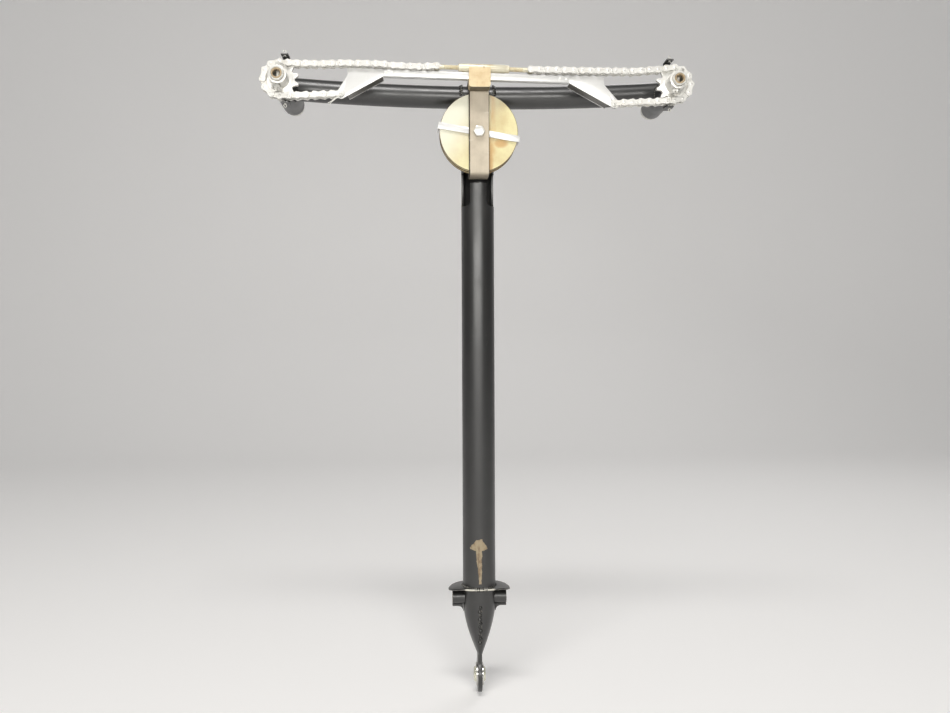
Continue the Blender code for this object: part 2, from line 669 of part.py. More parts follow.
def build_pulley_bolt(column):
    """Bolt through strap, keeper, pulleys and sleeve, with its nut behind the tube."""
    centre = Matrix.Translation((0, 0, PULLEY_Z))
    sleeve_end = COLUMN_RADIUS + SLEEVE_PROUD
    nut_start = sleeve_end + FIT_GAP
    nut_end = nut_start + PULLEY_NUT_HEIGHT
    shank, head = hex_bolt(PULLEY_BOLT_RADIUS, PULLEY_BOLT_FLATS, PULLEY_BOLT_HEAD,
                           STRAP_FRONT - FIT_GAP, nut_end + PULLEY_BOLT_TAIL, math.pi / 6)
    shank.transform(centre)
    head.transform(centre)
    bolt = solid("pulley_bolt", shank, BEARING_STEEL, column)
    weld(bolt, head)

    nut = extruded(hexagon(PULLEY_BOLT_FLATS), "XZ", nut_start, nut_end)
    nut.transform(centre)
    nut = solid("pulley_nut", nut, BEARING_STEEL, column)
    cut(nut, rod(PULLEY_BOLT_RADIUS + FIT_GAP, nut_start - CUT_MARGIN, nut_end + CUT_MARGIN, "Y",
                 (0, 0, PULLEY_Z), TINY_ROUND))

    sleeve = ring_profile(PULLEY_BOLT_RADIUS + FIT_GAP, SLEEVE_RADIUS,
                          REAR_PULLEY_BACK + BEARING_PROUD + FIT_GAP, sleeve_end)
    solid("pulley_sleeve", turned(sleeve, "Y", (0, 0, PULLEY_Z)), SATIN_BLACK, column)


def build_pulley(name, y, body):
    """Grooved pulley with its bearing, both about the bolt's axis."""
    half = PULLEY_WIDTH / 2
    floor = PULLEY_RADIUS - GROOVE_DEPTH
    profile = [(BEARING_RADIUS + FIT_GAP, y - half), (PULLEY_RADIUS, y - half),
               (PULLEY_RADIUS, y - GROOVE_MOUTH), (floor, y - GROOVE_FLOOR),
               (floor, y + GROOVE_FLOOR), (PULLEY_RADIUS, y + GROOVE_MOUTH),
               (PULLEY_RADIUS, y + half), (BEARING_RADIUS + FIT_GAP, y + half)]
    solid(f"pulley_{name}", turned(profile, "Y", segments=LARGE_ROUND), PHENOLIC, body)
    reach = half + BEARING_PROUD
    bearing = ring_profile(PULLEY_BOLT_RADIUS + FIT_GAP, BEARING_RADIUS, y - reach, y + reach)
    solid(f"pulley_bearing_{name}", turned(bearing, "Y"), BEARING_STEEL, body)


def build_guide_block(column):
    """Block that guides the tie bar, and its screw from the strap."""
    left, right = -BLOCK_WIDTH / 2, BLOCK_WIDTH / 2
    top = PIVOT_TO_SPROCKET + BLOCK_TOP
    bottom = BLOCK_SLOT_FLOOR - BLOCK_FLOOR
    corner = BLOCK_CORNER
    outline = arc((left + corner, bottom + corner), corner, 180, 270, BEND_STEPS)
    outline += arc((right - corner, bottom + corner), corner, 270, 360, BEND_STEPS)
    outline += [(right, top), (left, top)]
    front = BLOCK_SLOT_FRONT - BLOCK_FRONT_WALL
    block = solid("guide_block", extruded(outline, "XZ", front, BLOCK_BACK), PHENOLIC, column)
    screw_end = BLOCK_BACK - GUIDE_SCREW_DEPTH
    cut(block,
        box((left - CUT_MARGIN, right + CUT_MARGIN), (BLOCK_SLOT_FRONT, BLOCK_SLOT_BACK),
            (BLOCK_SLOT_FLOOR, top + CUT_MARGIN)),
        rod(GUIDE_SCREW_RADIUS + FIT_GAP, screw_end - FIT_GAP, BLOCK_BACK + CUT_MARGIN, "Y",
            (0, 0, GUIDE_SCREW_Z), TINY_ROUND))
    head_start = STRAP_BACK + FIT_GAP
    head_end = head_start + GUIDE_SCREW_HEAD
    profile = [(0, screw_end), (GUIDE_SCREW_RADIUS, screw_end), (GUIDE_SCREW_RADIUS, head_start),
               (GUIDE_SCREW_HEAD_RADIUS, head_start), (GUIDE_SCREW_HEAD_RADIUS, head_end),
               (0, head_end)]
    solid("guide_screw", turned(profile, "Y", (0, 0, GUIDE_SCREW_Z), TINY_ROUND), BEARING_STEEL,
          column)


# Wheel shafts


def sprocket_outline():
    """Tooth outline whose seats lie on the pitch circle at each tooth angle."""
    seat = ROLLER_RADIUS + SEAT_CLEARANCE
    tip = SPROCKET_RADIUS + TOOTH_TIP_HEIGHT
    step = 2 * math.pi / SPROCKET_TEETH
    outline = []
    for tooth in range(SPROCKET_TEETH):
        angle = tooth * step
        centre = (SPROCKET_RADIUS * math.cos(angle), SPROCKET_RADIUS * math.sin(angle))
        inward = math.degrees(angle) + 180
        reach = math.degrees(SEAT_HALF_ARC)
        outline += arc(centre, seat, inward + reach, inward - reach, SEAT_STEPS)
        for side in (-1, 1):
            corner = angle + step / 2 + side * TOOTH_TIP_HALF_ANGLE
            outline.append((tip * math.cos(corner), tip * math.sin(corner)))
    return outline


def build_wheel(side, body):
    """Sprocket, hollow shaft, hub bolt and collar that turn together."""
    half = TOOTH_THICKNESS / 2
    teeth = extruded(sprocket_outline(), "XZ", CHAIN_PLANE - half, CHAIN_PLANE + half)
    sprocket = solid(f"sprocket_{side}", teeth, CHAIN_STEEL, body)
    weld(sprocket, rod(HUB_RADIUS, HUB_FRONT, HUB_REAR, "Y", segments=MEDIUM_ROUND))
    bolt_hole = HUB_BOLT_RADIUS + FIT_GAP
    across = HUB_RADIUS + CUT_MARGIN
    bolt_centre = (0, HUB_BOLT_Y, 0)
    cut(sprocket,
        rod(SHAFT_RADIUS + FIT_GAP, HUB_FRONT - CUT_MARGIN, HUB_REAR + CUT_MARGIN, "Y"),
        rod(bolt_hole, -across, across, "Z", bolt_centre, TINY_ROUND))

    bore = SHAFT_RADIUS - SHAFT_WALL
    profile = ring_profile(bore, SHAFT_RADIUS, SHAFT_FRONT, SHAFT_REAR)
    shaft = solid(f"wheel_shaft_{side}", turned(profile, "Y"), BRIGHT_PLATE, body)
    cut(shaft, rod(bolt_hole, -across, across, "Z", bolt_centre, TINY_ROUND))
    ring = bore - FIT_GAP
    profile = ring_profile(ring - INSERT_WALL, ring, SHAFT_FRONT, SHAFT_FRONT + INSERT_LENGTH)
    solid(f"shaft_insert_{side}", turned(profile, "Y"), TAN_PLASTIC, body)

    seat = HUB_RADIUS + FIT_GAP
    shank = rod(HUB_BOLT_RADIUS, -seat - HUB_NUT_HEIGHT, seat + HUB_BOLT_HEAD / 2, "Z",
                bolt_centre, TINY_ROUND)
    bolt = solid(f"hub_bolt_{side}", shank, BEARING_STEEL, body)
    head = extruded(hexagon(HUB_BOLT_FLATS), "XY", seat, seat + HUB_BOLT_HEAD)
    head.transform(Matrix.Translation(bolt_centre))
    weld(bolt, head)
    nut = extruded(hexagon(HUB_BOLT_FLATS), "XY", -seat - HUB_NUT_HEIGHT, -seat)
    nut.transform(Matrix.Translation(bolt_centre))
    nut = solid(f"hub_nut_{side}", nut, BEARING_STEEL, body)
    cut(nut, rod(bolt_hole, -seat - HUB_NUT_HEIGHT - CUT_MARGIN, 0, "Z", bolt_centre, TINY_ROUND))

    collar = ring_profile(SHAFT_RADIUS + FIT_GAP, COLLAR_RADIUS, COLLAR_FRONT,
                          COLLAR_FRONT + COLLAR_LENGTH)
    solid(f"shaft_collar_{side}", turned(collar, "Y"), BRIGHT_PLATE, body)


def build_housing(side, sign, column):
    """Housing across the crossbar's end with a flanged bush at each end."""
    centre = (sign * WHEEL_X, 0, PIVOT_TO_SPROCKET)
    bore = HOUSING_RADIUS - HOUSING_WALL
    profile = ring_profile(bore, HOUSING_RADIUS, HOUSING_FRONT, HOUSING_REAR)
    solid(f"shaft_housing_{side}", turned(profile, "Y", centre, MEDIUM_ROUND), SATIN_BLACK, column)
    ends = (("front", HOUSING_FRONT - BUSH_FLANGE - FIT_GAP, BUSH_LENGTH),
            ("rear", HOUSING_REAR + BUSH_FLANGE + FIT_GAP, -BUSH_LENGTH))
    for end, face, length in ends:
        profile = flanged_profile(SHAFT_RADIUS + FIT_GAP, bore - FIT_GAP, BUSH_FLANGE_RADIUS,
                                  face, BUSH_FLANGE, length)
        solid(f"shaft_bush_{side}_{end}", turned(profile, "Y", centre), BRONZE, column)


def build_guard(side, sign, column):
    """Strip behind the sprocket, set inwards, with an ear over the chain above and below."""
    centre = Vector((sign * WHEEL_X, 0, PIVOT_TO_SPROCKET))
    strip = centre - Vector((sign * GUARD_OFFSET, 0, 0))
    back = GUARD_FRONT + GUARD_THICKNESS
    front = CHAIN_PLANE - GUARD_EAR_REACH
    inner, outer = GUARD_RADIUS, GUARD_RADIUS + GUARD_THICKNESS
    outline = [(back, -outer), (back, outer), (front, outer), (front, inner),
               (GUARD_FRONT, inner), (GUARD_FRONT, -inner), (front, -inner), (front, -outer)]
    bm = extruded(outline, "YZ", -GUARD_WIDTH / 2, GUARD_WIDTH / 2)
    bm.transform(Matrix.Translation(strip))
    guard = solid(f"chain_guard_{side}", bm, SATIN_BLACK, column)
    pin_centre = strip + Vector((0, front + GUARD_PIN_INSET, 0))
    weld(guard, rod(BUSH_FLANGE_RADIUS, GUARD_FRONT, back, "Y", centre, MEDIUM_ROUND))
    cut(guard,
        rod(SHAFT_RADIUS + RUNNING_GAP, GUARD_FRONT - CUT_MARGIN, back + CUT_MARGIN, "Y", centre),
        rod(GUARD_PIN_HOLE, -outer - CUT_MARGIN, -inner + CUT_MARGIN, "Z",
            pin_centre, PIN_HOLE_ROUND),
        rod(GUARD_PIN_HOLE, inner - CUT_MARGIN, outer + CUT_MARGIN, "Z",
            pin_centre, PIN_HOLE_ROUND))
    for level, up in (("upper", 1), ("lower", -1)):
        build_guard_pin(f"guard_pin_{side}_{level}", pin_centre, up, column)


def build_guard_pin(name, centre, up, column):
    """Split pin of bent wire through an ear of the chain guard."""
    leg = GUARD_PIN_WIRE + FIT_GAP / 2
    eye_z = GUARD_RADIUS + GUARD_THICKNESS + GUARD_PIN_EYE + GUARD_PIN_WIRE + FIT_GAP
    inside = eye_z - GUARD_PIN_EYE - GUARD_THICKNESS - GUARD_PIN_LEG / 2
    route = [(-leg, inside)] + arc((0, eye_z), GUARD_PIN_EYE, 240, -60, 7) + [(leg, inside)]
    curve = bpy.data.curves.new(name, "CURVE")
    curve.dimensions = "3D"
    curve.bevel_depth = GUARD_PIN_WIRE
    curve.bevel_resolution = 0
    curve.use_fill_caps = True
    spline = curve.splines.new("POLY")
    spline.points.add(len(route) - 1)
    for point, (x, z) in zip(spline.points, route):
        point.co = (x, 0, up * z, 1)
    curve.materials.append(make_material(name, BRIGHT_PLATE))
    pin = bpy.data.objects.new(name, curve)
    pin.location = centre
    pin.parent = column
    bpy.context.scene.collection.objects.link(pin)


# Chain


def link_outline(first, second):
    """Link plate around two pins in the XZ plane."""
    heading = math.degrees(math.atan2(second[1] - first[1], second[0] - first[0]))
    outline = []
    for centre, outward in ((second, heading), (first, heading + 180)):
        outline += arc(centre, LINK_HEIGHT / 2, outward - LINK_END_HALF_ARC,
                       outward + LINK_END_HALF_ARC, LINK_END_STEPS)
    return outline


def link_plates(first, second, outer):
    """The two plates of one link, in front of and behind the chain plane."""
    start = OUTER_PLATE_START if outer else INNER_PLATE_START
    outline = link_outline(first, second)
    return [extruded(outline, "XZ", CHAIN_PLANE + sign * start,
                     CHAIN_PLANE + sign * (start + LINK_PLATE)) for sign in (-1, 1)]


def cross_rod(radius, reach, centre, segments):
    """Rod across the chain at a pin's place in the XZ plane."""
    return rod(radius, -reach, reach, "Y", (centre[0], CHAIN_PLANE, centre[1]), segments)


def build_chain(name, pins, first_outer, parent, end="joint"):
    """One stretch of chain along its pins.

    At a joint the next stretch carries on: an outer end keeps the pin there and an inner
    end keeps a bored roller for it. An end named plain holds a pin and no roller.
    """
    plates, rollers, links, bores = [], [], [], []
    for index, (first, second) in enumerate(zip(pins, pins[1:])):
        plates += link_plates(first, second, first_outer == (index % 2 == 0))
    last_outer = first_outer == (len(pins) % 2 == 0)
    ends = {0: ("joint", first_outer), len(pins) - 1: (end, last_outer)}
    for index, centre in enumerate(pins):
        kind, outer = ends.get(index, ("inside", True))
        bored = kind == "joint" and not outer
        if bored:
            bores.append(cross_rod(LINK_PIN_RADIUS + FIT_GAP, CHAIN_HALF_WIDTH, centre,
                                   PIN_HOLE_ROUND))
        else:
            plate = OUTER_PLATE_START if outer else INNER_PLATE_START
            reach = plate + LINK_PLATE / 2
            links.append(cross_rod(LINK_PIN_RADIUS, reach, centre, LINK_PIN_ROUND))
        if bored or kind == "inside":
            edge = INNER_PLATE_START + LINK_PLATE / 4
            sides = PIN_HOLE_ROUND if bored else ROLLER_ROUND
            rollers.append(cross_rod(ROLLER_RADIUS, edge, centre, sides))
    chain = solid(name, merged(plates), CHAIN_STEEL, parent)
    weld(chain, merged(rollers), merged(links))
    cut(chain, *bores)


def run_height(run, inward):
    """Height of a slack run at a distance in from its shaft, eased between its places."""
    for (near, near_height), (far, far_height) in zip(run, run[1:]):
        if near <= inward <= far:
            share = (inward - near) / (far - near)
            return near_height + (far_height - near_height) * share * share * (3 - 2 * share)
    return run[-1][1]


def slack_pins(sign, slack, pitches):
    """Pins of one side of the slack upper run, from its wheel shaft in to the turnbuckle."""
    end_x = sign * (WHEEL_X - pitches * CHAIN_PITCH)
    end_height = TURNBUCKLE_HEIGHT - end_x * math.tan(TIE_TILT)
    run = ((0, SPROCKET_RADIUS), *slack, (pitches * CHAIN_PITCH, end_height))
    pins = []
    for step in range(pitches + 1):
        inward = step * CHAIN_PITCH
        pins.append((sign * (WHEEL_X - inward), PIVOT_TO_SPROCKET + run_height(run, inward)))
    return pins


def build_upper_chain(turnbuckle):
    """Slack upper run on each side of the turnbuckle."""
    left = slack_pins(-1, UPPER_LEFT_SLACK, UPPER_LEFT_PITCHES)
    right = slack_pins(1, UPPER_RIGHT_SLACK, UPPER_RIGHT_PITCHES)
    build_chain("chain_upper_left", left, False, turnbuckle, end="plain")
    build_chain("chain_upper_right", right, True, turnbuckle, end="plain")


def wrap_pins(sign):
    """Pins on the outer side of a sprocket, from its top down, one in each tooth seat."""
    centre = (sign * WHEEL_X, PIVOT_TO_SPROCKET)
    sweep = 360 / SPROCKET_TEETH * WRAP_PITCHES
    return arc(centre, SPROCKET_RADIUS, 90, 90 - sign * sweep, WRAP_PITCHES)


def build_wrap(side, sign, column):
    """Chain on the outer half of a sprocket, its rollers in the tooth seats."""
    build_chain(f"chain_wrap_{side}", wrap_pins(sign), sign < 0, column)


def tie_point(along, up):
    """Place in the XZ plane of a point on the tilted tie link."""
    turn = Matrix.Rotation(TIE_TILT, 4, "Y")
    moved = turn @ Vector((along, 0, up))
    return moved.x, PIVOT_TO_SPROCKET + TIE_HEIGHT + moved.z


def build_lower_chain(link):
    """Lower run from the end of each sprocket's wrap to the tie link's end plate."""
    drop = -SPROCKET_RADIUS - TIE_HEIGHT
    for side, sign in SIDES:
        near = Vector(tie_point(sign * TIE_PIN_X, drop))
        far = Vector(wrap_pins(sign)[-1])
        pins = [tuple(far.lerp(near, step / LOWER_PITCHES)) for step in range(LOWER_PITCHES + 1)]
        first_outer = (sign < 0) == (WRAP_PITCHES % 2 == 0)
        build_chain(f"chain_lower_{side}", pins, first_outer, link, end="plain")


# Turnbuckle and tie link


def build_turnbuckle(body):
    """Barrel and the two eyes that screw into it, in the upper run's own tilted frame."""
    middle = (TURNBUCKLE_LEFT + TURNBUCKLE_RIGHT) / 2
    half = BARREL_LENGTH / 2
    bore, outer, chamfer = SHANK_RADIUS + FIT_GAP, BARREL_RADIUS, BARREL_CHAMFER
    profile = [(bore, -half), (outer - chamfer, -half), (outer, -half + chamfer),
               (outer, half - chamfer), (outer - chamfer, half), (bore, half)]
    centre = (middle, 0, 0)
    barrel = solid("turnbuckle_barrel", turned(profile, "X", centre), BRASS, body)
    cut(barrel, rod(BARREL_SIGHT_HOLE, -2 * outer, 2 * outer, "Y", centre, PIN_HOLE_ROUND))
    for side, sign in SIDES:
        pin_x = TURNBUCKLE_LEFT if sign < 0 else TURNBUCKLE_RIGHT
        inner = middle + sign * (half - SHANK_INSIDE)
        spot = (pin_x, 0, 0)
        eye = rod(EYE_RADIUS, -EYE_THICKNESS / 2, EYE_THICKNESS / 2, "Y", spot)
        eye = solid(f"turnbuckle_eye_{side}", eye, BRASS, body)
        start, end = sorted((inner, pin_x - sign * EYE_RADIUS / 2))
        weld(eye, rod(SHANK_RADIUS, start, end, "X", segments=TINY_ROUND))
        cut(eye, rod(LINK_PIN_RADIUS + FIT_GAP, -EYE_THICKNESS, EYE_THICKNESS, "Y", spot,
                     PIN_HOLE_ROUND))


def build_tie_bar(link):
    """Channel bar, open to the rear, in the link's own tilted frame."""
    up, wall = TIE_BAR_TALL / 2, TIE_BAR_WALL
    front = TIE_BAR_FRONT - CHAIN_PLANE
    back = front + TIE_BAR_DEEP
    outline = [(front, -up), (back, -up), (back, wall - up), (front + wall, wall - up),
               (front + wall, up - wall), (back, up - wall), (back, up), (front, up)]
    bar = extruded(outline, "YZ", -TIE_BAR_REACH["left"], TIE_BAR_REACH["right"])
    solid("tie_bar", bar, ALUMINIUM, link)


def end_plate_outline(reach):
    """End plate past the bar's end: tongue in the bar, sloped lower edge, eye for the chain."""
    grip = TIE_BAR_TALL / 2 - TIE_BAR_WALL - FIT_GAP
    corner = reach + FIT_GAP
    outer = corner + END_PLATE_LENGTH
    edge = TIE_BAR_TALL / 2
    eye = (TIE_PIN_X, -SPROCKET_RADIUS - TIE_HEIGHT)
    slope = math.degrees(math.atan2(eye[1] + edge, eye[0] - corner))
    outline = [(corner - END_PLATE_TONGUE, -grip), (corner, -grip), (corner, -edge)]
    outline += arc(eye, END_PLATE_EYE, slope - 90, 20, 6)
    outline += [(outer, -edge), (outer, END_PLATE_TOP),
                (corner + END_PLATE_SHOULDER, END_PLATE_TOP), (corner, edge), (corner, grip),
                (corner - END_PLATE_TONGUE, grip)]
    return outline


def build_end_plates(link):
    """Sheet plates that join the tie bar to the lower chain, each with a bent flange."""
    half = END_PLATE_THICKNESS / 2
    eye = Vector((TIE_PIN_X, -SPROCKET_RADIUS - TIE_HEIGHT))
    for side, sign in SIDES:
        outline = end_plate_outline(TIE_BAR_REACH[side])
        start, end = Vector(outline[2]), Vector(outline[3])
        along = (end - start).normalized()
        up = Vector((-along.y, along.x)) * END_PLATE_THICKNESS
        end -= along * END_PLATE_FLANGE_SHORT
        lip = [start + along * FIT_GAP, end, end + up, start + along * FIT_GAP + up]
        web = extruded([(sign * u, w) for u, w in outline], "XZ", -half, half)
        plate = solid(f"end_plate_{side}", web, ALUMINIUM, link)
        weld(plate, extruded([(sign * u, w) for u, w in lip], "XZ", 0, END_PLATE_FLANGE))
        cut(plate, rod(LINK_PIN_RADIUS + FIT_GAP, -CUT_MARGIN, CUT_MARGIN, "Y",
                       (sign * eye.x, 0, eye.y), PIN_HOLE_ROUND))


def main():
    """Build every piece under the empties of the bodies that carry them."""
    clear_scene()
    root = empty("airframe_pivot", (0, 0, 0))
    column = empty("column_swing", (0, 0, 0), root)
    ball = empty("foot_ball_axis", (0, 0, -LUG_EYE_DROP), column)
    build_pivot(root, column)
    build_saddle(column)
    build_foot(column)
    build_gussets(column)
    build_lug(column, ball)
    build_column_tube(column)
    build_crossbar(column)
    build_strap(column)
    build_keeper(column)
    build_pulley_bolt(column)
    build_guide_block(column)
    for name, y in (("front", FRONT_PULLEY_Y), ("rear", REAR_PULLEY_Y)):
        build_pulley(name, y, empty(f"pulley_{name}_axis", (0, 0, PULLEY_Z), column))
    for side, sign in SIDES:
        axis = empty(f"wheel_{side}_axis", (sign * WHEEL_X, 0, PIVOT_TO_SPROCKET), column)
        build_wheel(side, axis)
        build_housing(side, sign, column)
        build_guard(side, sign, column)
        build_wrap(side, sign, column)
    turnbuckle = empty("turnbuckle_slide", (0, 0, 0), column)
    build_turnbuckle(tilted_frame("turnbuckle_frame", TURNBUCKLE_HEIGHT, turnbuckle))
    build_upper_chain(turnbuckle)
    link = empty("tie_link_slide", (0, 0, 0), column)
    tilted = tilted_frame("tie_link_frame", TIE_HEIGHT, link)
    build_tie_bar(tilted)
    build_end_plates(tilted)
    build_lower_chain(link)


main()
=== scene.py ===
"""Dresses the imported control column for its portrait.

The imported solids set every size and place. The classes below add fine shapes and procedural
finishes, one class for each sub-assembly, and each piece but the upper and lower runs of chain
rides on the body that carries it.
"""

from __future__ import annotations

import logging
import math
from dataclasses import dataclass, field
from enum import Enum
from typing import Callable, Iterable, Sequence

import bmesh
import bpy
from mathutils import Matrix, Vector

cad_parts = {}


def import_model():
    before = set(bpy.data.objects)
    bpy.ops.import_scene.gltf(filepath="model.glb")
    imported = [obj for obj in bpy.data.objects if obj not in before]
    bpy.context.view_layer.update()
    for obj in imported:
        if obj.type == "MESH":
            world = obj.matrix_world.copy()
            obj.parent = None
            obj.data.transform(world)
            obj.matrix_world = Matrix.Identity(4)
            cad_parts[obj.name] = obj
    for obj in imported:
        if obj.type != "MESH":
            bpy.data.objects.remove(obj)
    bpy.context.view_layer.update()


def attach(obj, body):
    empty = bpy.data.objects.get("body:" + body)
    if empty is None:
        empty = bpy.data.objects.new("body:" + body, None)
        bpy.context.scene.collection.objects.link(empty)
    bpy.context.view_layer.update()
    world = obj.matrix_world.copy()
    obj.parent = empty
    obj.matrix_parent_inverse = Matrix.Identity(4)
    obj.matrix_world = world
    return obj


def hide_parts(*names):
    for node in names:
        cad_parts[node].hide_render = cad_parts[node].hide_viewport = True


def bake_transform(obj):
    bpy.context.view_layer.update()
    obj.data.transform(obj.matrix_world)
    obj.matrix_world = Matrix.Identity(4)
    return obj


log = logging.getLogger("control_column")

Piece = bpy.types.Object
Socket = bpy.types.NodeSocket
Tree = bpy.types.NodeTree
Point = tuple[float, float, float]
Colour = tuple[float, float, float]
Profile = Sequence[tuple[float, float]]


class Side(Enum):
    """Left or right of the column, as the camera sees it."""

    LEFT = -1
    RIGHT = 1

    @property
    def label(self) -> str:
        """Word used in node and piece names."""
        return self.name.lower()


class Axis(Enum):
    """Direction that a turned piece is spun about, with the turn that takes +Z to it."""

    X = (0.0, math.pi / 2, 0.0)
    Y = (-math.pi / 2, 0.0, 0.0)
    Z = (0.0, 0.0, 0.0)


class Ends(Enum):
    """How a turned piece is closed."""

    FILLED = "filled"
    JOINED = "joined"


class Slot(Enum):
    """Material slots."""

    SATIN_BLACK = "satin_black"
    BEARING_STEEL = "bearing_steel"
    BRIGHT_BOLT = "bright_bolt"
    BRONZE_BUSH = "bronze_bush"
    STRAP_STEEL = "strap_steel"
    ALUMINIUM_SHEET = "aluminium_sheet"
    TAN_PHENOLIC = "tan_phenolic"
    BRIGHT_PLATE = "bright_plate"
    TAN_PLASTIC = "tan_plastic"
    CHAIN_STEEL = "chain_steel"
    BRASS = "brass"


# Sizes shared by more than one sub-assembly, in metres

WHEEL_X = 0.219075
AXIS_Z = 0.5868
CHAIN_PLANE = -0.046
PITCH = 0.009525
TEETH = 12
PITCH_RADIUS = PITCH / (2 * math.sin(math.pi / TEETH))
PULLEY_Z = 0.535
CROSSBAR_Z = 0.583
CROSSBAR_RADIUS = 0.0127
LINK_LEVEL = 0.0062
TOP_LEVEL = 0.0156
LINK_TILT = math.radians(1.3)
GAP = 0.0003
THREAD_GAP = 0.0002


def on_slope(level: float, along: float, up: float = 0.0) -> tuple[float, float]:
    """Place in X and Z of a point of the sloping tie link or turnbuckle.

    Args:
        level: height of the sloping line above the sprockets' axis at the column.
        along: distance along the line, to the right of the column.
        up: distance above the line.

    Returns:
        X and Z.
    """
    cosine, sine = math.cos(LINK_TILT), math.sin(LINK_TILT)
    return (along * cosine + up * sine, AXIS_Z + level - along * sine + up * cosine)


# Modelling bench


class Bench:
    """The modelling tools, each used on one selected object at a time."""

    merge_distance = 0.000002
    seam_distance = 0.000005
    flat_degrees = 0.5
    sharp_degrees = 34

    @staticmethod
    def release() -> None:
        """Leave edit mode and select nothing."""
        if bpy.context.object and bpy.context.object.mode != "OBJECT":
            bpy.ops.object.mode_set(mode="OBJECT")
        bpy.ops.object.select_all(action="DESELECT")

    @classmethod
    def take(cls, piece: Piece) -> None:
        """Select one piece alone and make it active.

        Args:
            piece: the object to work on.
        """
        cls.release()
        piece.select_set(True)
        bpy.context.view_layer.objects.active = piece

    @staticmethod
    def named(name: str) -> Piece:
        """Name the active object and its mesh.

        Args:
            name: the piece's name.

        Returns:
            The active object.
        """
        piece = bpy.context.object
        piece.name = name
        piece.data.name = name
        return piece

    @staticmethod
    def pick(test: Callable[[Vector], bool], kind: str = "VERT") -> None:
        """Select corners or edges in edit mode by where they lie.

        Args:
            test: says of a place whether it is wanted.
            kind: VERT or EDGE; an edge counts when both its ends do.
        """
        piece = bpy.context.object
        bpy.ops.mesh.select_mode(type=kind)
        bm = bmesh.from_edit_mesh(piece.data)
        for item in [*bm.verts, *bm.edges, *bm.faces]:
            item.select = False
        for item in bm.verts if kind == "VERT" else bm.edges:
            corners = [item] if kind == "VERT" else item.verts
            if all(test(corner.co) for corner in corners):
                item.select = True
        bm.select_flush(True)
        bmesh.update_edit_mesh(piece.data)

    @classmethod
    def settle(cls, piece: Piece) -> Piece:
        """Put the piece's place, turn and size into its mesh.

        Args:
            piece: the object to settle.

        Returns:
            The same object, at the origin, unturned and unscaled.
        """
        cls.take(piece)
        bpy.ops.object.transform_apply(location=True, rotation=True, scale=True)
        return piece

    @classmethod
    def apply(cls, piece: Piece, kind: str, **settings: object) -> None:
        """Add a modifier, set it and apply it.

        Args:
            piece: the object that gets it.
            kind: the modifier's type.
            settings: its properties by name.
        """
        cls.take(piece)
        modifier = piece.modifiers.new(kind.lower(), kind)
        for key, value in settings.items():
            setattr(modifier, key, value)
        bpy.ops.object.modifier_apply(modifier=modifier.name)

    @classmethod
    def soften(cls, piece: Piece, width: float, segments: int = 2) -> None:
        """Round the sharp edges of a piece.

        Args:
            piece: the object whose edges are rounded.
            width: the round's width.
            segments: how many faces each round has.
        """
        cls.apply(piece, "BEVEL", width=width, segments=segments, limit_method="ANGLE",
                  angle_limit=math.radians(cls.sharp_degrees), use_clamp_overlap=True)

    @classmethod
    def smooth(cls, piece: Piece, degrees: float = 35) -> None:
        """Shade smooth, with edges past an angle kept crisp.

        Args:
            piece: the object to shade.
            degrees: the angle.
        """
        cls.take(piece)
        bpy.ops.object.shade_smooth_by_angle(angle=math.radians(degrees))

    @classmethod
    def fix_normals(cls, piece: Piece) -> None:
        """Merge doubled corners and point every face outwards.

        Args:
            piece: the object to mend.
        """
        cls.take(piece)
        bpy.ops.object.mode_set(mode="EDIT")
        bpy.ops.mesh.select_all(action="SELECT")
        bpy.ops.mesh.remove_doubles(threshold=cls.merge_distance)
        bpy.ops.mesh.normals_make_consistent(inside=False)
        bpy.ops.object.mode_set(mode="OBJECT")

    @classmethod
    def turned(cls, name: str, profile: Profile, axis: Axis, centre: Point, facets: int = 48,
               ends: Ends = Ends.FILLED) -> Piece:
        """Turn a piece by extruding a circle along its axis and scaling each new ring.

        Args:
            name: the piece's name.
            profile: radius and place along the axis of each ring, in order.
            axis: the axis it is turned about.
            centre: the point of the axis that the places count from.
            facets: corners of each ring.
            ends: FILLED closes both ends, JOINED bridges the last ring to the first.

        Returns:
            The turned piece.
        """
        cls.release()
        radius, along = profile[0]
        bpy.ops.mesh.primitive_circle_add(vertices=facets, radius=radius, location=(0, 0, 0),
                                          fill_type="NGON" if ends is Ends.FILLED else "NOTHING")
        piece = cls.named(name)
        bpy.ops.object.mode_set(mode="EDIT")
        bpy.ops.mesh.select_all(action="SELECT")
        bpy.ops.transform.translate(value=(0, 0, along))
        for next_radius, next_along in profile[1:]:
            bpy.ops.mesh.extrude_region_move(
                TRANSFORM_OT_translate={"value": (0, 0, next_along - along)})
            share = next_radius / radius
            bpy.ops.transform.resize(value=(share, share, 1), center_override=(0, 0, next_along))
            radius, along = next_radius, next_along
        if ends is Ends.JOINED:
            bm = bmesh.from_edit_mesh(piece.data)
            for edge in bm.edges:
                for goal_radius, goal_along in (profile[0], profile[-1]):
                    if all(abs(v.co.z - goal_along) < cls.merge_distance
                           and abs(v.co.xy.length - goal_radius) < cls.merge_distance
                           for v in edge.verts):
                        edge.select = True
            bmesh.update_edit_mesh(piece.data)
            bpy.ops.mesh.bridge_edge_loops()
        bpy.ops.object.mode_set(mode="OBJECT")
        piece.rotation_euler = axis.value
        piece.location = centre
        cls.settle(piece)
        cls.fix_normals(piece)
        cls.smooth(piece)
        return piece

    @classmethod
    def rod(cls, name: str, radius: float, start: float, end: float, axis: Axis, centre: Point,
            facets: int) -> Piece:
        """Turn a plain rod, of one radius from its start to its end along the axis."""
        return cls.turned(name, [(radius, start), (radius, end)], axis, centre, facets)

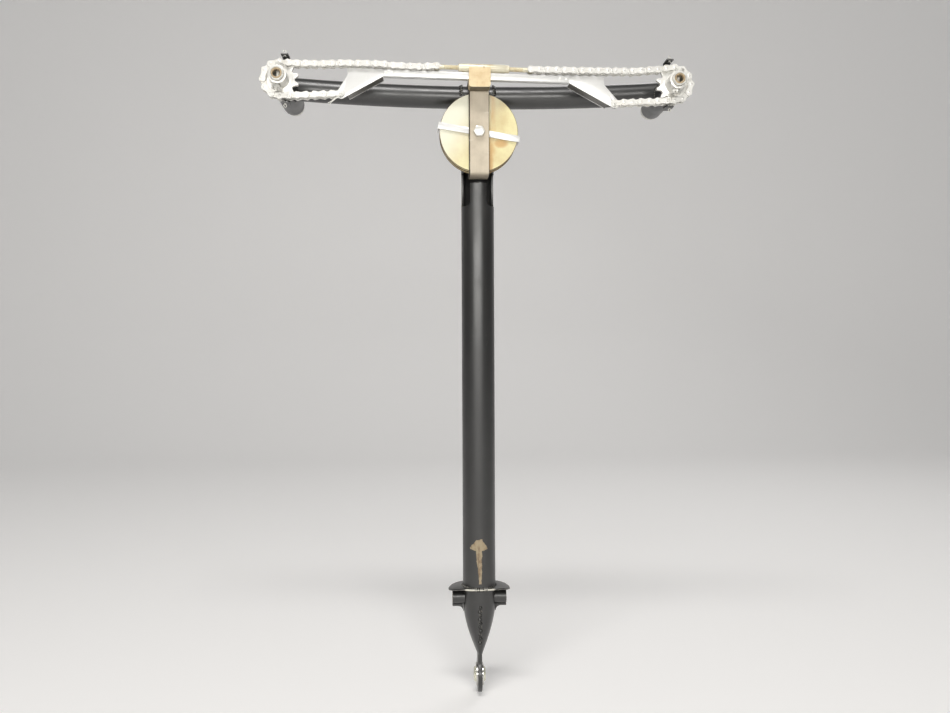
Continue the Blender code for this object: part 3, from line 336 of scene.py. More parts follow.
    @classmethod
    def ring(cls, name: str, inner: float, outer: float, start: float, end: float, axis: Axis,
             centre: Point, chamfer: float = 0.0003, facets: int = 48) -> Piece:
        """Plain ring or tube with chamfered corners.

        Args:
            name: the piece's name.
            inner: bore radius.
            outer: outer radius.
            start: first end's place along the axis.
            end: second end's place along the axis.
            axis: the axis it is turned about.
            centre: the point of the axis that the places count from.
            chamfer: width of each corner's chamfer.
            facets: corners of each ring.

        Returns:
            The ring.
        """
        c = chamfer
        profile = [(inner, start + c), (inner + c, start), (outer - c, start), (outer, start + c),
                   (outer, end - c), (outer - c, end), (inner + c, end), (inner, end - c)]
        return cls.turned(name, profile, axis, centre, facets, Ends.JOINED)

    @classmethod
    def block(cls, name: str, low: Point, high: Point, edge: float = 0.0) -> Piece:
        """Cuboid between two corners, with rounded edges if a width is given.

        Args:
            name: the piece's name.
            low: lowest corner.
            high: highest corner.
            edge: width of the rounded edges.

        Returns:
            The block.
        """
        cls.release()
        low_corner, high_corner = Vector(low), Vector(high)
        bpy.ops.mesh.primitive_cube_add(size=1, location=(low_corner + high_corner) / 2)
        piece = cls.named(name)
        piece.scale = high_corner - low_corner
        cls.settle(piece)
        if edge:
            cls.soften(piece, edge)
            cls.smooth(piece)
        return piece

    @classmethod
    def carve(cls, piece: Piece, tools: Iterable[Piece],
              operation: str = "DIFFERENCE") -> None:
        """Boolean a piece with each tool and clear the tools away.

        Args:
            piece: the object that is cut or added to.
            tools: the tool objects.
            operation: the Boolean's operation.
        """
        for tool in tools:
            cls.apply(piece, "BOOLEAN", operation=operation, object=tool, solver="EXACT")
            bpy.data.objects.remove(tool, do_unlink=True)

    @classmethod
    def copied(cls, piece: Piece, name: str, place: Matrix) -> Piece:
        """Copy a piece with its own mesh and put it in its place.

        Args:
            piece: the object to copy.
            name: the copy's name.
            place: where the copy goes.

        Returns:
            The copy, with its place in its mesh.
        """
        twin = piece.copy()
        twin.data = piece.data.copy()
        twin.name = name
        twin.data.name = name
        twin.data.transform(place)
        if place.determinant() < 0:
            twin.data.flip_normals()
        bpy.context.scene.collection.objects.link(twin)
        return twin

    @classmethod
    def joined(cls, name: str, pieces: Sequence[Piece]) -> Piece:
        """Join pieces that ride together into one object.

        Args:
            name: the joined piece's name.
            pieces: the objects to join.

        Returns:
            The joined object.
        """
        cls.release()
        for piece in pieces:
            piece.select_set(True)
        bpy.context.view_layer.objects.active = pieces[0]
        bpy.ops.object.join()
        return cls.named(name)

    @classmethod
    def remade(cls, node: str, name: str, edge: float = 0.0, segments: int = 2) -> Piece:
        """Copy a solid's mesh, merge it, clear its flat seams and round its edges.

        Args:
            node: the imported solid's name.
            name: the new piece's name.
            edge: width of the rounded edges, or 0 to leave them crisp.
            segments: how many faces each rounded edge has.

        Returns:
            The new piece, in the solid's place.
        """
        mesh = bpy.data.objects[node].data.copy()
        mesh.name = name
        mesh.materials.clear()
        piece = bpy.data.objects.new(name, mesh)
        bpy.context.scene.collection.objects.link(piece)
        cls.take(piece)
        if mesh.has_custom_normals:
            bpy.ops.mesh.customdata_custom_splitnormals_clear()
        bpy.ops.object.mode_set(mode="EDIT")
        bpy.ops.mesh.select_all(action="SELECT")
        bpy.ops.mesh.remove_doubles(threshold=cls.seam_distance)
        bpy.ops.mesh.dissolve_limited(angle_limit=math.radians(cls.flat_degrees))
        bpy.ops.object.mode_set(mode="OBJECT")
        if edge:
            cls.soften(piece, edge, segments)
        cls.smooth(piece)
        return piece


def fit(piece: Piece, body: str, finish: bpy.types.Material, slot: Slot, *nodes: str) -> None:
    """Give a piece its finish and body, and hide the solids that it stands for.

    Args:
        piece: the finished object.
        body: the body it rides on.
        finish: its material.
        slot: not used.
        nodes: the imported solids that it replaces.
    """
    piece.data.materials.clear()
    piece.data.materials.append(finish)
    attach(piece, body)
    if nodes:
        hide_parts(*nodes)
    log.info("%s rides on %s", piece.name, body)


def rework(node: str, name: str, body: str, finish: bpy.types.Material, slot: Slot,
           edge: float, segments: int = 2) -> None:
    """Round a solid's edges, and dress it as the piece that stands for it."""
    fit(Bench.remade(node, name, edge, segments), body, finish, slot, node)


def ring_points(steps: int) -> list[tuple[float, float]]:
    """Cosine and sine of each step round a full turn."""
    angles = [2 * math.pi * step / steps for step in range(steps)]
    return [(math.cos(angle), math.sin(angle)) for angle in angles]


# Shader groups


@dataclass(frozen=True)
class Wire:
    """Adds nodes to one tree and links them by socket name."""

    tree: Tree

    def node(self, kind: str, **settings: object) -> bpy.types.Node:
        """Add a node.

        Args:
            kind: the node's type name.
            settings: properties, and inputs given as in_NAME.

        Returns:
            The node.
        """
        made = self.tree.nodes.new(kind)
        for key, value in settings.items():
            if key.startswith("in_"):
                made.inputs[key[3:].replace("_", " ")].default_value = value
            else:
                setattr(made, key, value)
        return made

    def link(self, source: Socket, target: Socket) -> None:
        """Join an output to an input."""
        self.tree.links.new(source, target)

    def feed(self, target: Socket, value: object) -> None:
        """Link an output to an input, or set the input.

        Args:
            target: the input.
            value: an output, a number or a colour.
        """
        if isinstance(value, Socket):
            self.link(value, target)
        else:
            target.default_value = (*value, 1) if isinstance(value, tuple) else value

    def maths(self, operation: str, first: object, second: object = 0.0,
              clamp: bool = False) -> Socket:
        """Add a Math node.

        Args:
            operation: its operation.
            first: a socket or a number.
            second: a socket or a number.
            clamp: keep the result from 0 to 1.

        Returns:
            Its output.
        """
        made = self.node("ShaderNodeMath", operation=operation, use_clamp=clamp)
        self.feed(made.inputs[0], first)
        self.feed(made.inputs[1], second)
        return made.outputs[0]

    def product(self, *factors: object) -> Socket:
        """Multiply sockets and numbers.

        Args:
            factors: the first is a socket.

        Returns:
            Their product.
        """
        result, *others = factors
        for factor in others:
            result = self.maths("MULTIPLY", result, factor)
        return result

    def ramp(self, value: Socket, low: float, high: float, to_low: object = 0.0,
             to_high: object = 1.0) -> Socket:
        """Map a value from one range to another, smoothly and clamped.

        Args:
            value: the value's socket.
            low: input that gives to_low.
            high: input that gives to_high.
            to_low: a socket or a number.
            to_high: a socket or a number.

        Returns:
            The mapped value.
        """
        made = self.node("ShaderNodeMapRange", interpolation_type="SMOOTHSTEP",
                         in_From_Min=low, in_From_Max=high)
        self.link(value, made.inputs["Value"])
        self.feed(made.inputs["To Min"], to_low)
        self.feed(made.inputs["To Max"], to_high)
        return made.outputs["Result"]

    def mixed(self, share: Socket, first: object, second: object) -> Socket:
        """Mix two colours.

        Args:
            share: how much of the second there is, from 0 to 1.
            first: a socket or a colour.
            second: a socket or a colour.

        Returns:
            The mixed colour.
        """
        made = self.node("ShaderNodeMix", data_type="RGBA")
        for index, value in ((0, share), (6, first), (7, second)):
            self.feed(made.inputs[index], value)
        return made.outputs[2]

    def noise(self, scale: float, stretch: Point = (1, 1, 1), detail: float = 4.0,
              rough: float = 0.55, shift: Point = (0, 0, 0)) -> Socket:
        """Noise in the object's own space.

        Args:
            scale: size of the pattern.
            stretch: how much finer it is along each axis.
            detail: octaves.
            rough: how strong the finer octaves are.
            shift: moves the pattern.

        Returns:
            The noise's value.
        """
        place = self.node("ShaderNodeTexCoord")
        mapping = self.node("ShaderNodeMapping", in_Scale=stretch, in_Location=shift)
        made = self.node("ShaderNodeTexNoise", in_Scale=scale, in_Detail=detail,
                         in_Roughness=rough)
        self.link(place.outputs["Object"], mapping.inputs["Vector"])
        self.link(mapping.outputs["Vector"], made.inputs["Vector"])
        return made.outputs[0]

    def split(self, vector: Socket) -> tuple[Socket, Socket, Socket]:
        """X, Y and Z of a vector.

        Args:
            vector: the vector's socket.

        Returns:
            Its three parts.
        """
        parts = self.node("ShaderNodeSeparateXYZ")
        self.link(vector, parts.inputs[0])
        return tuple(parts.outputs)

    def place(self) -> tuple[Socket, Socket, Socket]:
        """X, Y and Z of the shaded point in the object's own space."""
        return self.split(self.node("ShaderNodeTexCoord").outputs["Object"])

    def facing(self) -> tuple[Socket, Socket, Socket]:
        """X, Y and Z of the way that the shaded face looks."""
        return self.split(self.node("ShaderNodeNewGeometry").outputs["True Normal"])


class EffectGroup(Enum):
    """Effects that several finishes share."""

    WORN_EDGES = "worn_edges"
    HANDLING = "handling_marks"


def make_group(name: str, inputs: Sequence[tuple[str, str, float]],
               outputs: Sequence[tuple[str, str]]) -> tuple[Tree, Wire]:
    """Start a shader group with named sockets.

    Args:
        name: the group's name.
        inputs: name, socket type and default of each input.
        outputs: name and socket type of each output.

    Returns:
        The group's tree and a Wire for it.
    """
    tree = bpy.data.node_groups.new(name, "ShaderNodeTree")
    for label, kind, default in inputs:
        socket = tree.interface.new_socket(label, in_out="INPUT", socket_type=kind)
        socket.default_value = default
    for label, kind in outputs:
        tree.interface.new_socket(label, in_out="OUTPUT", socket_type=kind)
    return tree, Wire(tree)


def worn_edges_group() -> Tree:
    """Build the mask of edges rubbed bright by handling.

    Returns:
        The group, with inputs Width and Amount and output Mask.
    """
    tree, wire = make_group(
        EffectGroup.WORN_EDGES.value,
        [("Width", "NodeSocketFloat", 0.0006), ("Amount", "NodeSocketFloat", 0.5)],
        [("Mask", "NodeSocketFloat")])
    entry = wire.node("NodeGroupInput")
    leave = wire.node("NodeGroupOutput")
    bevel = wire.node("ShaderNodeBevel", samples=4)
    surface = wire.node("ShaderNodeNewGeometry")
    dot = wire.node("ShaderNodeVectorMath", operation="DOT_PRODUCT")
    wire.link(entry.outputs["Width"], bevel.inputs["Radius"])
    wire.link(bevel.outputs["Normal"], dot.inputs[0])
    wire.link(surface.outputs["Normal"], dot.inputs[1])
    bend = wire.maths("SUBTRACT", 1.0, dot.outputs["Value"], clamp=True)
    patch = wire.ramp(wire.noise(240, detail=5), 0.38, 0.62)
    mask = wire.maths("MULTIPLY", wire.ramp(bend, 0.01, 0.12), patch)
    wire.link(wire.maths("MULTIPLY", mask, entry.outputs["Amount"], clamp=True),
              leave.inputs["Mask"])
    return tree


def handling_group() -> Tree:
    """Build fine scratches and smears.

    Returns:
        The group, with inputs Scratches and Smears and outputs Scratch, Smear and Height.
    """
    tree, wire = make_group(
        EffectGroup.HANDLING.value,
        [("Scratches", "NodeSocketFloat", 0.5), ("Smears", "NodeSocketFloat", 0.5)],
        [("Scratch", "NodeSocketFloat"), ("Smear", "NodeSocketFloat"),
         ("Height", "NodeSocketFloat")])
    entry = wire.node("NodeGroupInput")
    leave = wire.node("NodeGroupOutput")
    long_marks = wire.ramp(wire.noise(300, stretch=(0.5, 1, 0.06), detail=2), 0.66, 0.72)
    cross_marks = wire.noise(260, stretch=(0.07, 1, 0.6), detail=2, shift=(3, 1, 2))
    cross_marks = wire.ramp(cross_marks, 0.67, 0.73)
    scratch = wire.maths("MAXIMUM", long_marks, cross_marks)
    scratch = wire.maths("MULTIPLY", scratch, entry.outputs["Scratches"], clamp=True)
    cloud = wire.noise(38, stretch=(1, 1, 0.6), detail=6, rough=0.6, shift=(5, 2, 7))
    cloud = wire.ramp(cloud, 0.35, 0.72)
    smear = wire.maths("MULTIPLY", cloud, entry.outputs["Smears"], clamp=True)
    fine = wire.noise(1500, detail=3)
    height = wire.maths("SUBTRACT", wire.maths("MULTIPLY", fine, 0.25), scratch)
    wire.link(scratch, leave.inputs["Scratch"])
    wire.link(smear, leave.inputs["Smear"])
    wire.link(height, leave.inputs["Height"])
    return tree


# Finishes


@dataclass(frozen=True)
class Finish:
    """Surface of one kind of piece."""

    name: str
    base: Colour
    stain: Colour
    worn: Colour
    metallic: float
    roughness: tuple[float, float]
    stain_scale: float = 60.0
    stain_range: tuple[float, float] = (0.4, 0.75)
    stretch: Point = (1, 1, 1)
    edge_wear: float = 0.5
    edge_width: float = 0.0006
    scratches: float = 0.4
    scratch_share: float = 0.5
    smears: float = 0.5
    bump: float = 0.15
    bump_depth: float = 0.00005
    coat: float = 0.0
    coat_roughness: float = 0.3
    specular: float = 0.5
    # Painted shade on the faces that look down: its strength, how far back it reaches, the slope
    # of the faces that get it, and the colour of all painted shade.
    underside: float = 0.0
    underside_back: float = 1.0
    underside_slope: tuple[float, float] = (-0.80, -0.60)
    grime: Colour = (0.045, 0.035, 0.020)

    def build(self, groups: dict[EffectGroup, Tree]) -> bpy.types.Material:
        """Make the material.

        Args:
            groups: the shared effect groups.

        Returns:
            The material.
        """
        material = bpy.data.materials.new(self.name)
        material.use_nodes = True
        wire = Wire(material.node_tree)
        shader = material.node_tree.nodes["Principled BSDF"]
        wear = wire.node("ShaderNodeGroup", node_tree=groups[EffectGroup.WORN_EDGES],
                         in_Width=self.edge_width, in_Amount=self.edge_wear)
        marks = wire.node("ShaderNodeGroup", node_tree=groups[EffectGroup.HANDLING],
                          in_Scratches=self.scratches, in_Smears=self.smears)
        cloud = wire.noise(self.stain_scale, self.stretch, detail=6, rough=0.6)
        stained = wire.mixed(wire.ramp(cloud, *self.stain_range), self.base, self.stain)
        colour = self.pattern(wire, stained)
        # Painted shade darkens the faces that look down.
        if self.underside:
            colour = wire.mixed(self.dirty_underside(wire), colour, self.grime)
        scratched = wire.product(marks.outputs["Scratch"], self.scratch_share)
        bare = wire.maths("MAXIMUM", wear.outputs["Mask"], scratched)
        wire.link(wire.mixed(bare, colour, self.worn), shader.inputs["Base Color"])
        rough = wire.ramp(marks.outputs["Smear"], 0, 1, *self.roughness)
        wire.link(rough, shader.inputs["Roughness"])
        shader.inputs["Metallic"].default_value = self.metallic
        shader.inputs["Specular IOR Level"].default_value = self.specular
        shader.inputs["Coat Weight"].default_value = self.coat
        shader.inputs["Coat Roughness"].default_value = self.coat_roughness
        bump = wire.node("ShaderNodeBump", in_Strength=self.bump, in_Distance=self.bump_depth)
        wire.link(self.relief(wire, marks.outputs["Height"]), bump.inputs["Height"])
        wire.link(bump.outputs["Normal"], shader.inputs["Normal"])
        return material

    def dirty_underside(self, wire: Wire) -> Socket:
        """Mask of the painted shade on the faces that look down, ahead of where that shade ends.

        Args:
            wire: the material's wiring.

        Returns:
            The mask.
        """
        below = wire.ramp(wire.facing()[2], *self.underside_slope, self.underside, 0.0)
        ahead = wire.maths("LESS_THAN", wire.place()[1], self.underside_back)
        return wire.product(below, ahead)

    def pattern(self, wire: Wire, colour: Socket) -> Socket:
        """Colour detail of this finish alone; the plain finish has none."""
        return colour

    def relief(self, wire: Wire, height: Socket) -> Socket:
        """Relief of this finish alone; the plain finish has none."""
        return height


@dataclass(frozen=True)
class ChippedPaint(Finish):
    """Black paint on the column, with the bare tan chip low on its front."""

    chip_colour: Colour = (0.37, 0.29, 0.17)
    chip_shade: Colour = (0.21, 0.13, 0.055)
    shade_range: tuple[float, float] = (0.46, 0.66)
    chip_foot: float = 0.0190
    shoulder: float = 0.0585
    crown: float = 0.0705
    stem_half: tuple[float, float] = (0.0014, 0.0034)
    head_half: tuple[float, float] = (0.0098, 0.0036)
    head_start: float = 0.0020
    shoulder_blend: tuple[float, float] = (-0.0010, 0.0012)
    lean: tuple[float, float] = (0.0002, -0.0012)
    wander_scale: float = 230
    wander: float = 0.0050
    side_wander: float = 0.7

    def pattern(self, wire: Wire, colour: Socket) -> Socket:
        """Lay the chip's wide head and narrow stem over the paint.

        Args:
            wire: the material's wiring.
            colour: the paint's colour.

        Returns:
            The colour with the chip in it.
        """
        x, y, z = wire.place()
        ragged = wire.maths("SUBTRACT", wire.noise(self.wander_scale, detail=5), 0.5)
        ragged = wire.product(ragged, self.wander)
        rise = wire.maths("ADD", z, ragged)
        middle = wire.ramp(z, self.chip_foot, self.shoulder, *self.lean)
        beside = wire.maths("ABSOLUTE", wire.maths("SUBTRACT", x, middle))
        beside = wire.maths("ADD", beside, wire.product(ragged, self.side_wander))
        stem = wire.ramp(z, self.chip_foot, self.shoulder, *self.stem_half)
        head = wire.ramp(z, self.shoulder + self.head_start, self.crown, *self.head_half)
        below, above = self.shoulder_blend
        width = wire.ramp(rise, self.shoulder + below, self.shoulder + above, stem, head)
        mask = wire.product(wire.maths("LESS_THAN", beside, width),
                            wire.maths("LESS_THAN", rise, self.crown),
                            wire.maths("GREATER_THAN", rise, self.chip_foot),
                            wire.maths("LESS_THAN", y, 0))
        shade = wire.ramp(wire.noise(330, stretch=(1, 1, 0.4), detail=5), *self.shade_range)
        patch = wire.mixed(shade, self.chip_colour, self.chip_shade)
        return wire.mixed(mask, colour, patch)


@dataclass(frozen=True)
class RubbedPaint(Finish):
    """Black paint with a pale band on the faces that look forward, near the middle."""

    lip: Colour = (0.72, 0.70, 0.60)
    lip_reach: float = 0.0185
    lip_fade: float = 0.0030
    lip_slope: tuple[float, float] = (-0.70, -0.30)
    patch_scale: float = 170
    patch_range: tuple[float, float] = (0.30, 0.44)

    def pattern(self, wire: Wire, colour: Socket) -> Socket:
        """Lay a pale band on the faces that look forward.

        Args:
            wire: the material's wiring.
            colour: the paint's colour.

        Returns:
            The colour with the pale band in it.
        """
        forward = wire.ramp(wire.facing()[1], *self.lip_slope, 1.0, 0.0)
        beside = wire.maths("ABSOLUTE", wire.place()[0])
        near = wire.ramp(beside, self.lip_reach - self.lip_fade, self.lip_reach, 1.0, 0.0)
        patchy = wire.ramp(wire.noise(self.patch_scale, detail=4), *self.patch_range)
        return wire.mixed(wire.product(forward, near, patchy), colour, self.lip)


@dataclass(frozen=True)
class LaminatedPhenolic(Finish):
    """Tan phenolic sheet, with its weave and turning marks; the pulleys' faces get painted light
    at the upper left, painted shade beside the strap and at the rim, and an amber spot.
    """

    # Painted shade: an amber band beside the strap, and an amber spot to its right.
    amber: Colour = (0.62, 0.33, 0.10)
    amber_share: float = 0.75
    amber_band: tuple[float, float, float, float] = (0.0100, 0.0120, 0.0130, 0.0215)
    amber_spot: tuple[float, float] = (0.0245, -0.0120)
    spot_stretch: float = 0.6
    spot_range: tuple[float, float] = (0.000004, 0.000042)
    # Painted light: a pale wash that makes the upper left of each pulley's face lighter, where
    # the light falls.
    pale: Colour = (0.88, 0.87, 0.74)
    pale_share: float = 0.85
    pale_slant: float = 0.8
    pale_range: tuple[float, float] = (-0.045, 0.020)
    # Painted shade: a dark ring at the edge of each pulley's face.
    rim: Colour = (0.15, 0.095, 0.04)
    rim_width: float = 0.0003
    # How much painted light and shade the face gets, with the amber spot; none on the block.
    face_stain: float = 1.0
    ring_centre: float = PULLEY_Z
    face_radius: float = 0.0441
    thread_scale: float = 900
    thread_share: float = 0.12
    turning_scale: float = 420.0

    def from_centre(self, wire: Wire) -> Socket:
        """Place in the object's own space, counted from the pulleys' centre.

        Args:
            wire: the material's wiring.

        Returns:
            The place.
        """
        place = wire.node("ShaderNodeTexCoord")
        mapping = wire.node("ShaderNodeMapping", in_Location=(0, 0, -self.ring_centre))
        wire.link(place.outputs["Object"], mapping.inputs["Vector"])
        return mapping.outputs["Vector"]

    def pattern(self, wire: Wire, colour: Socket) -> Socket:
        """Add the cloth's threads, painted light at the face's upper left, painted shade beside
        the strap, an amber spot and painted shade at the rim.

        Args:
            wire: the material's wiring.
            colour: the resin's colour.

        Returns:
            The colour with its painted light and shade.
        """
        x, _, z = wire.split(self.from_centre(wire))
        weft, warp = (wire.ramp(wire.noise(self.thread_scale, stretch, detail=2), 0.3, 0.7)
                      for stretch in ((1, 1, 0.09), (0.09, 1, 1)))
        threads = wire.product(wire.maths("ADD", weft, warp), 0.5)
        colour = wire.mixed(wire.product(threads, self.thread_share), colour,
                            self.stain)
        # Painted light, paler towards the upper left of the face.
        slant = wire.maths("SUBTRACT", x, wire.product(z, self.pale_slant))
        lit_side = wire.ramp(slant, *self.pale_range, self.face_stain * self.pale_share, 0.0)
        colour = wire.mixed(lit_side, colour, self.pale)
        # Painted shade beside the strap, and the amber spot.
        colour = wire.mixed(self.amber_stain(wire, x, z), colour, self.amber)
        # Painted shade round the rim of the face.
        spread = wire.maths("ADD", wire.maths("POWER", x, 2.0), wire.maths("POWER", z, 2.0))
        edge = wire.ramp(wire.maths("SQRT", spread), self.face_radius - self.rim_width,
                         self.face_radius, 0.0, self.face_stain)
        return wire.mixed(edge, colour, self.rim)

    def amber_stain(self, wire: Wire, x: Socket, z: Socket) -> Socket:
        """Mask of a streaked band of painted shade beside the strap, and of an amber spot at its
        right.

        Args:
            wire: the material's wiring.
            x: distance to the right of the pulleys' centre.
            z: distance above it.

        Returns:
            The mask.
        """
        start, full, fading, end = self.amber_band
        streaks = wire.noise(95, stretch=(1, 1, 0.22), detail=5, shift=(1.4, 0.3, 2.2))
        streaks = wire.ramp(streaks, 0.34, 0.62)
        band = wire.product(wire.ramp(x, start, full), wire.ramp(x, fading, end, 1.0, 0.0),
                            streaks)
        spot_x, spot_z = self.amber_spot
        along = wire.product(wire.maths("SUBTRACT", x, spot_x), self.spot_stretch)
        above = wire.maths("SUBTRACT", z, spot_z)
        reach = wire.maths("ADD", wire.maths("POWER", along, 2.0),
                           wire.maths("POWER", above, 2.0))
        spot = wire.ramp(reach, *self.spot_range, 1.0, 0.0)
        return wire.product(wire.maths("MAXIMUM", band, spot),
                          self.face_stain * self.amber_share)

    def relief(self, wire: Wire, height: Socket) -> Socket:
        """Add concentric turning marks.

        Args:
            wire: the material's wiring.
            height: the relief so far.

        Returns:
            The relief with the marks in it.
        """
        wave = wire.node("ShaderNodeTexWave", wave_type="RINGS", rings_direction="Y",
                         in_Scale=self.turning_scale, in_Distortion=0.4)
        wire.link(self.from_centre(wire), wave.inputs["Vector"])
        return wire.maths("ADD", height, wire.product(wave.outputs["Fac"], 0.5))


@dataclass(frozen=True)
class BrushedMetal(Finish):
    """Sheet or bar metal with a grain along one axis."""

    grain: Point = (0.03, 1.0, 1.0)
    grain_scale: float = 1300.0
    grain_range: tuple[float, float] = (0.3, 0.72)
    grain_depth: float = 0.5
    grain_share: float = 0.2

    def pattern(self, wire: Wire, colour: Socket) -> Socket:
        """Vary the colour along the grain.

        Args:
            wire: the material's wiring.
            colour: the metal's colour.

        Returns:
            The grained colour.
        """
        lines = wire.ramp(wire.noise(self.grain_scale, self.grain, detail=3), *self.grain_range)
        return wire.mixed(wire.product(lines, self.grain_share), colour, self.stain)

    def relief(self, wire: Wire, height: Socket) -> Socket:
        """Cut the grain into the surface.

        Args:
            wire: the material's wiring.
            height: the relief so far.

        Returns:
            The relief with the grain in it.
        """
        lines = wire.noise(self.grain_scale, self.grain, detail=3)
        return wire.maths("ADD", height, wire.product(lines, self.grain_depth))


@dataclass(frozen=True)
class EdgedPlate(BrushedMetal):
    """Brushed plate with painted shade along its two long edges."""

    grime_lines: tuple[float, float] = (-0.0102, 0.0109)

    def pattern(self, wire: Wire, colour: Socket) -> Socket:
        """Paint shade along both edges.

        Args:
            wire: the material's wiring.
            colour: the plate's colour.

        Returns:
            The colour with the painted shade at its edges.
        """
        x = wire.place()[0]
        left, right = self.grime_lines
        edges = wire.maths("MAXIMUM", wire.maths("LESS_THAN", x, left),
                           wire.maths("GREATER_THAN", x, right))
        return wire.mixed(edges, super().pattern(wire, colour), self.grime)


@dataclass
class PaintShop:
    """All the finishes, each built once."""

    groups: dict[EffectGroup, Tree] = field(default_factory=dict)
    made: dict[str, bpy.types.Material] = field(default_factory=dict)

    def open(self) -> None:
        """Build the shared effects and every finish."""
        self.groups = {EffectGroup.WORN_EDGES: worn_edges_group(),
                       EffectGroup.HANDLING: handling_group()}
        for finish in FINISHES:
            self.made[finish.name] = finish.build(self.groups)

    def __getitem__(self, name: str) -> bpy.types.Material:
        """The finish of that name."""
        return self.made[name]


BLACK: Colour = (0.006, 0.006, 0.0055)
DUSTY_BLACK: Colour = (0.012, 0.0115, 0.010)
BRIGHT: Colour = (0.90, 0.89, 0.86)
PALE_RESIN: Colour = (0.88, 0.82, 0.62)

FINISHES = (
    Finish("satin_black_paint", BLACK, DUSTY_BLACK, (0.20, 0.19, 0.17), 0.0, (0.36, 0.50),
           stain_scale=22, edge_wear=0.35, scratches=0.12, smears=0.9, bump=0.12, coat=0.35,
           specular=0.9),
    ChippedPaint("column_paint", BLACK, DUSTY_BLACK, (0.22, 0.21, 0.18), 0.0, (0.36, 0.50),
                 stain_scale=18, stretch=(1, 1, 0.3), edge_wear=0.35, scratches=0.10,
                 smears=0.9, bump=0.12, coat=0.35, specular=0.9),
    RubbedPaint("rubbed_black_paint", BLACK, (0.013, 0.0125, 0.011), (0.62, 0.58, 0.50), 0.0,
                (0.34, 0.48), stain_scale=26, edge_wear=1.0, edge_width=0.0014, scratches=0.3,
                smears=0.8, bump=0.12, coat=0.35, specular=0.9),
    # The pale worn colour on the edges of the weld's scales is painted highlight on the bead, as
    # well as wear.
    Finish("weld_paint", (0.014, 0.014, 0.013), (0.032, 0.030, 0.026), (0.62, 0.60, 0.52), 0.0,
           (0.24, 0.40), stain_scale=90, edge_wear=1.0, edge_width=0.0008, scratches=0.1,
           bump=0.35, bump_depth=0.0001),
    Finish("bright_zinc", (0.84, 0.83, 0.78), (0.70, 0.66, 0.55), BRIGHT, 0.35, (0.30, 0.46),
           stain_scale=70, stain_range=(0.5, 0.9), scratches=0.3),
    Finish("chain_plating", (0.84, 0.83, 0.79), (0.66, 0.60, 0.48), BRIGHT, 0.35, (0.32, 0.48),
           stain_scale=150, stain_range=(0.52, 0.9), scratches=0.2),
    BrushedMetal("link_aluminium", (0.84, 0.84, 0.82), (0.72, 0.71, 0.68), (0.90, 0.90, 0.88),
                 0.35, (0.34, 0.50), stain_scale=40, stain_range=(0.5, 0.9)),
    # Painted shade under the folded plates' flanges.
    BrushedMetal("plate_aluminium", (0.85, 0.85, 0.83), (0.74, 0.73, 0.70),
                 (0.90, 0.90, 0.88), 0.25, (0.34, 0.50), stain_scale=40,
                 stain_range=(0.5, 0.9), underside=0.92, underside_back=-0.0325),
    # The strap gets painted shade along its two long edges.
    EdgedPlate("strap_plate", (0.58, 0.51, 0.40), (0.44, 0.38, 0.29), (0.88, 0.85, 0.76),
               0.25, (0.46, 0.62), stain_scale=34, grain=(1.0, 1.0, 0.03), edge_wear=0.2),
    LaminatedPhenolic("pulley_phenolic", (0.86, 0.80, 0.46), (0.70, 0.56, 0.28), PALE_RESIN,
                      0.0, (0.44, 0.60), stain_scale=30, edge_wear=0.3, scratches=0.12),
    # Painted shade under the guide block.
    LaminatedPhenolic("block_phenolic", (0.85, 0.70, 0.44), (0.68, 0.48, 0.24), PALE_RESIN,
                      0.0, (0.44, 0.60), edge_wear=0.4, scratches=0.12, face_stain=0.0,
                      underside=0.9),
    Finish("cream_brass", (0.82, 0.77, 0.60), (0.66, 0.52, 0.30), (0.90, 0.87, 0.74), 0.30,
           (0.32, 0.48), stain_scale=110, stain_range=(0.45, 0.8)),
    Finish("plain_bronze", (0.50, 0.36, 0.20), (0.34, 0.22, 0.11), (0.66, 0.52, 0.32), 0.9,
           (0.34, 0.52), stain_scale=120),
    Finish("bearing_steel", (0.66, 0.65, 0.62), (0.50, 0.47, 0.40), (0.80, 0.79, 0.77), 0.9,
           (0.18, 0.36), stain_scale=110, stain_range=(0.55, 0.9), scratches=0.25),
    Finish("polished_ball", (0.82, 0.81, 0.66), (0.62, 0.60, 0.40), (0.90, 0.89, 0.80), 0.55,
           (0.16, 0.30), stain_scale=130, stain_range=(0.5, 0.9), scratches=0.2),
    Finish("tan_liner", (0.50, 0.39, 0.24), (0.34, 0.24, 0.13), (0.66, 0.56, 0.40), 0.0,
           (0.45, 0.62), stain_scale=180),
)


# Studio


@dataclass(frozen=True)
class Lamp:
    """One soft rectangular lamp; its size is width and height, its power in watts."""

    name: str
    place: Point
    aim: Point
    size: tuple[float, float]
    power: float
    colour: Colour = (1, 1, 1)

    def hang(self) -> None:
        """Hang the lamp in its place and point it at its aim."""
        light = bpy.data.lights.new(self.name, "AREA")
        light.shape = "RECTANGLE"
        light.size, light.size_y = self.size
        light.energy = self.power
        light.color = self.colour
        holder = bpy.data.objects.new(self.name, light)
        holder.location = self.place
        heading = Vector(self.aim) - Vector(self.place)
        holder.rotation_euler = heading.to_track_quat("-Z", "Y").to_euler()
        bpy.context.scene.collection.objects.link(holder)


LAMPS = (
    Lamp("front_strip", place=(-0.16, -1.95, 0.66), aim=(0, 0, 0.40), size=(1.9, 0.24),
         power=21, colour=(1.0, 0.985, 0.95)),
    Lamp("overhead_lamp", place=(-0.25, -1.15, 2.30), aim=(0, 0, 0.50), size=(1.3, 0.35),
         power=31, colour=(1.0, 0.98, 0.96)),
    Lamp("rear_lamp", place=(0.9, 1.4, 1.9), aim=(0, 0, 0.35), size=(1.2, 1.0), power=9),
)


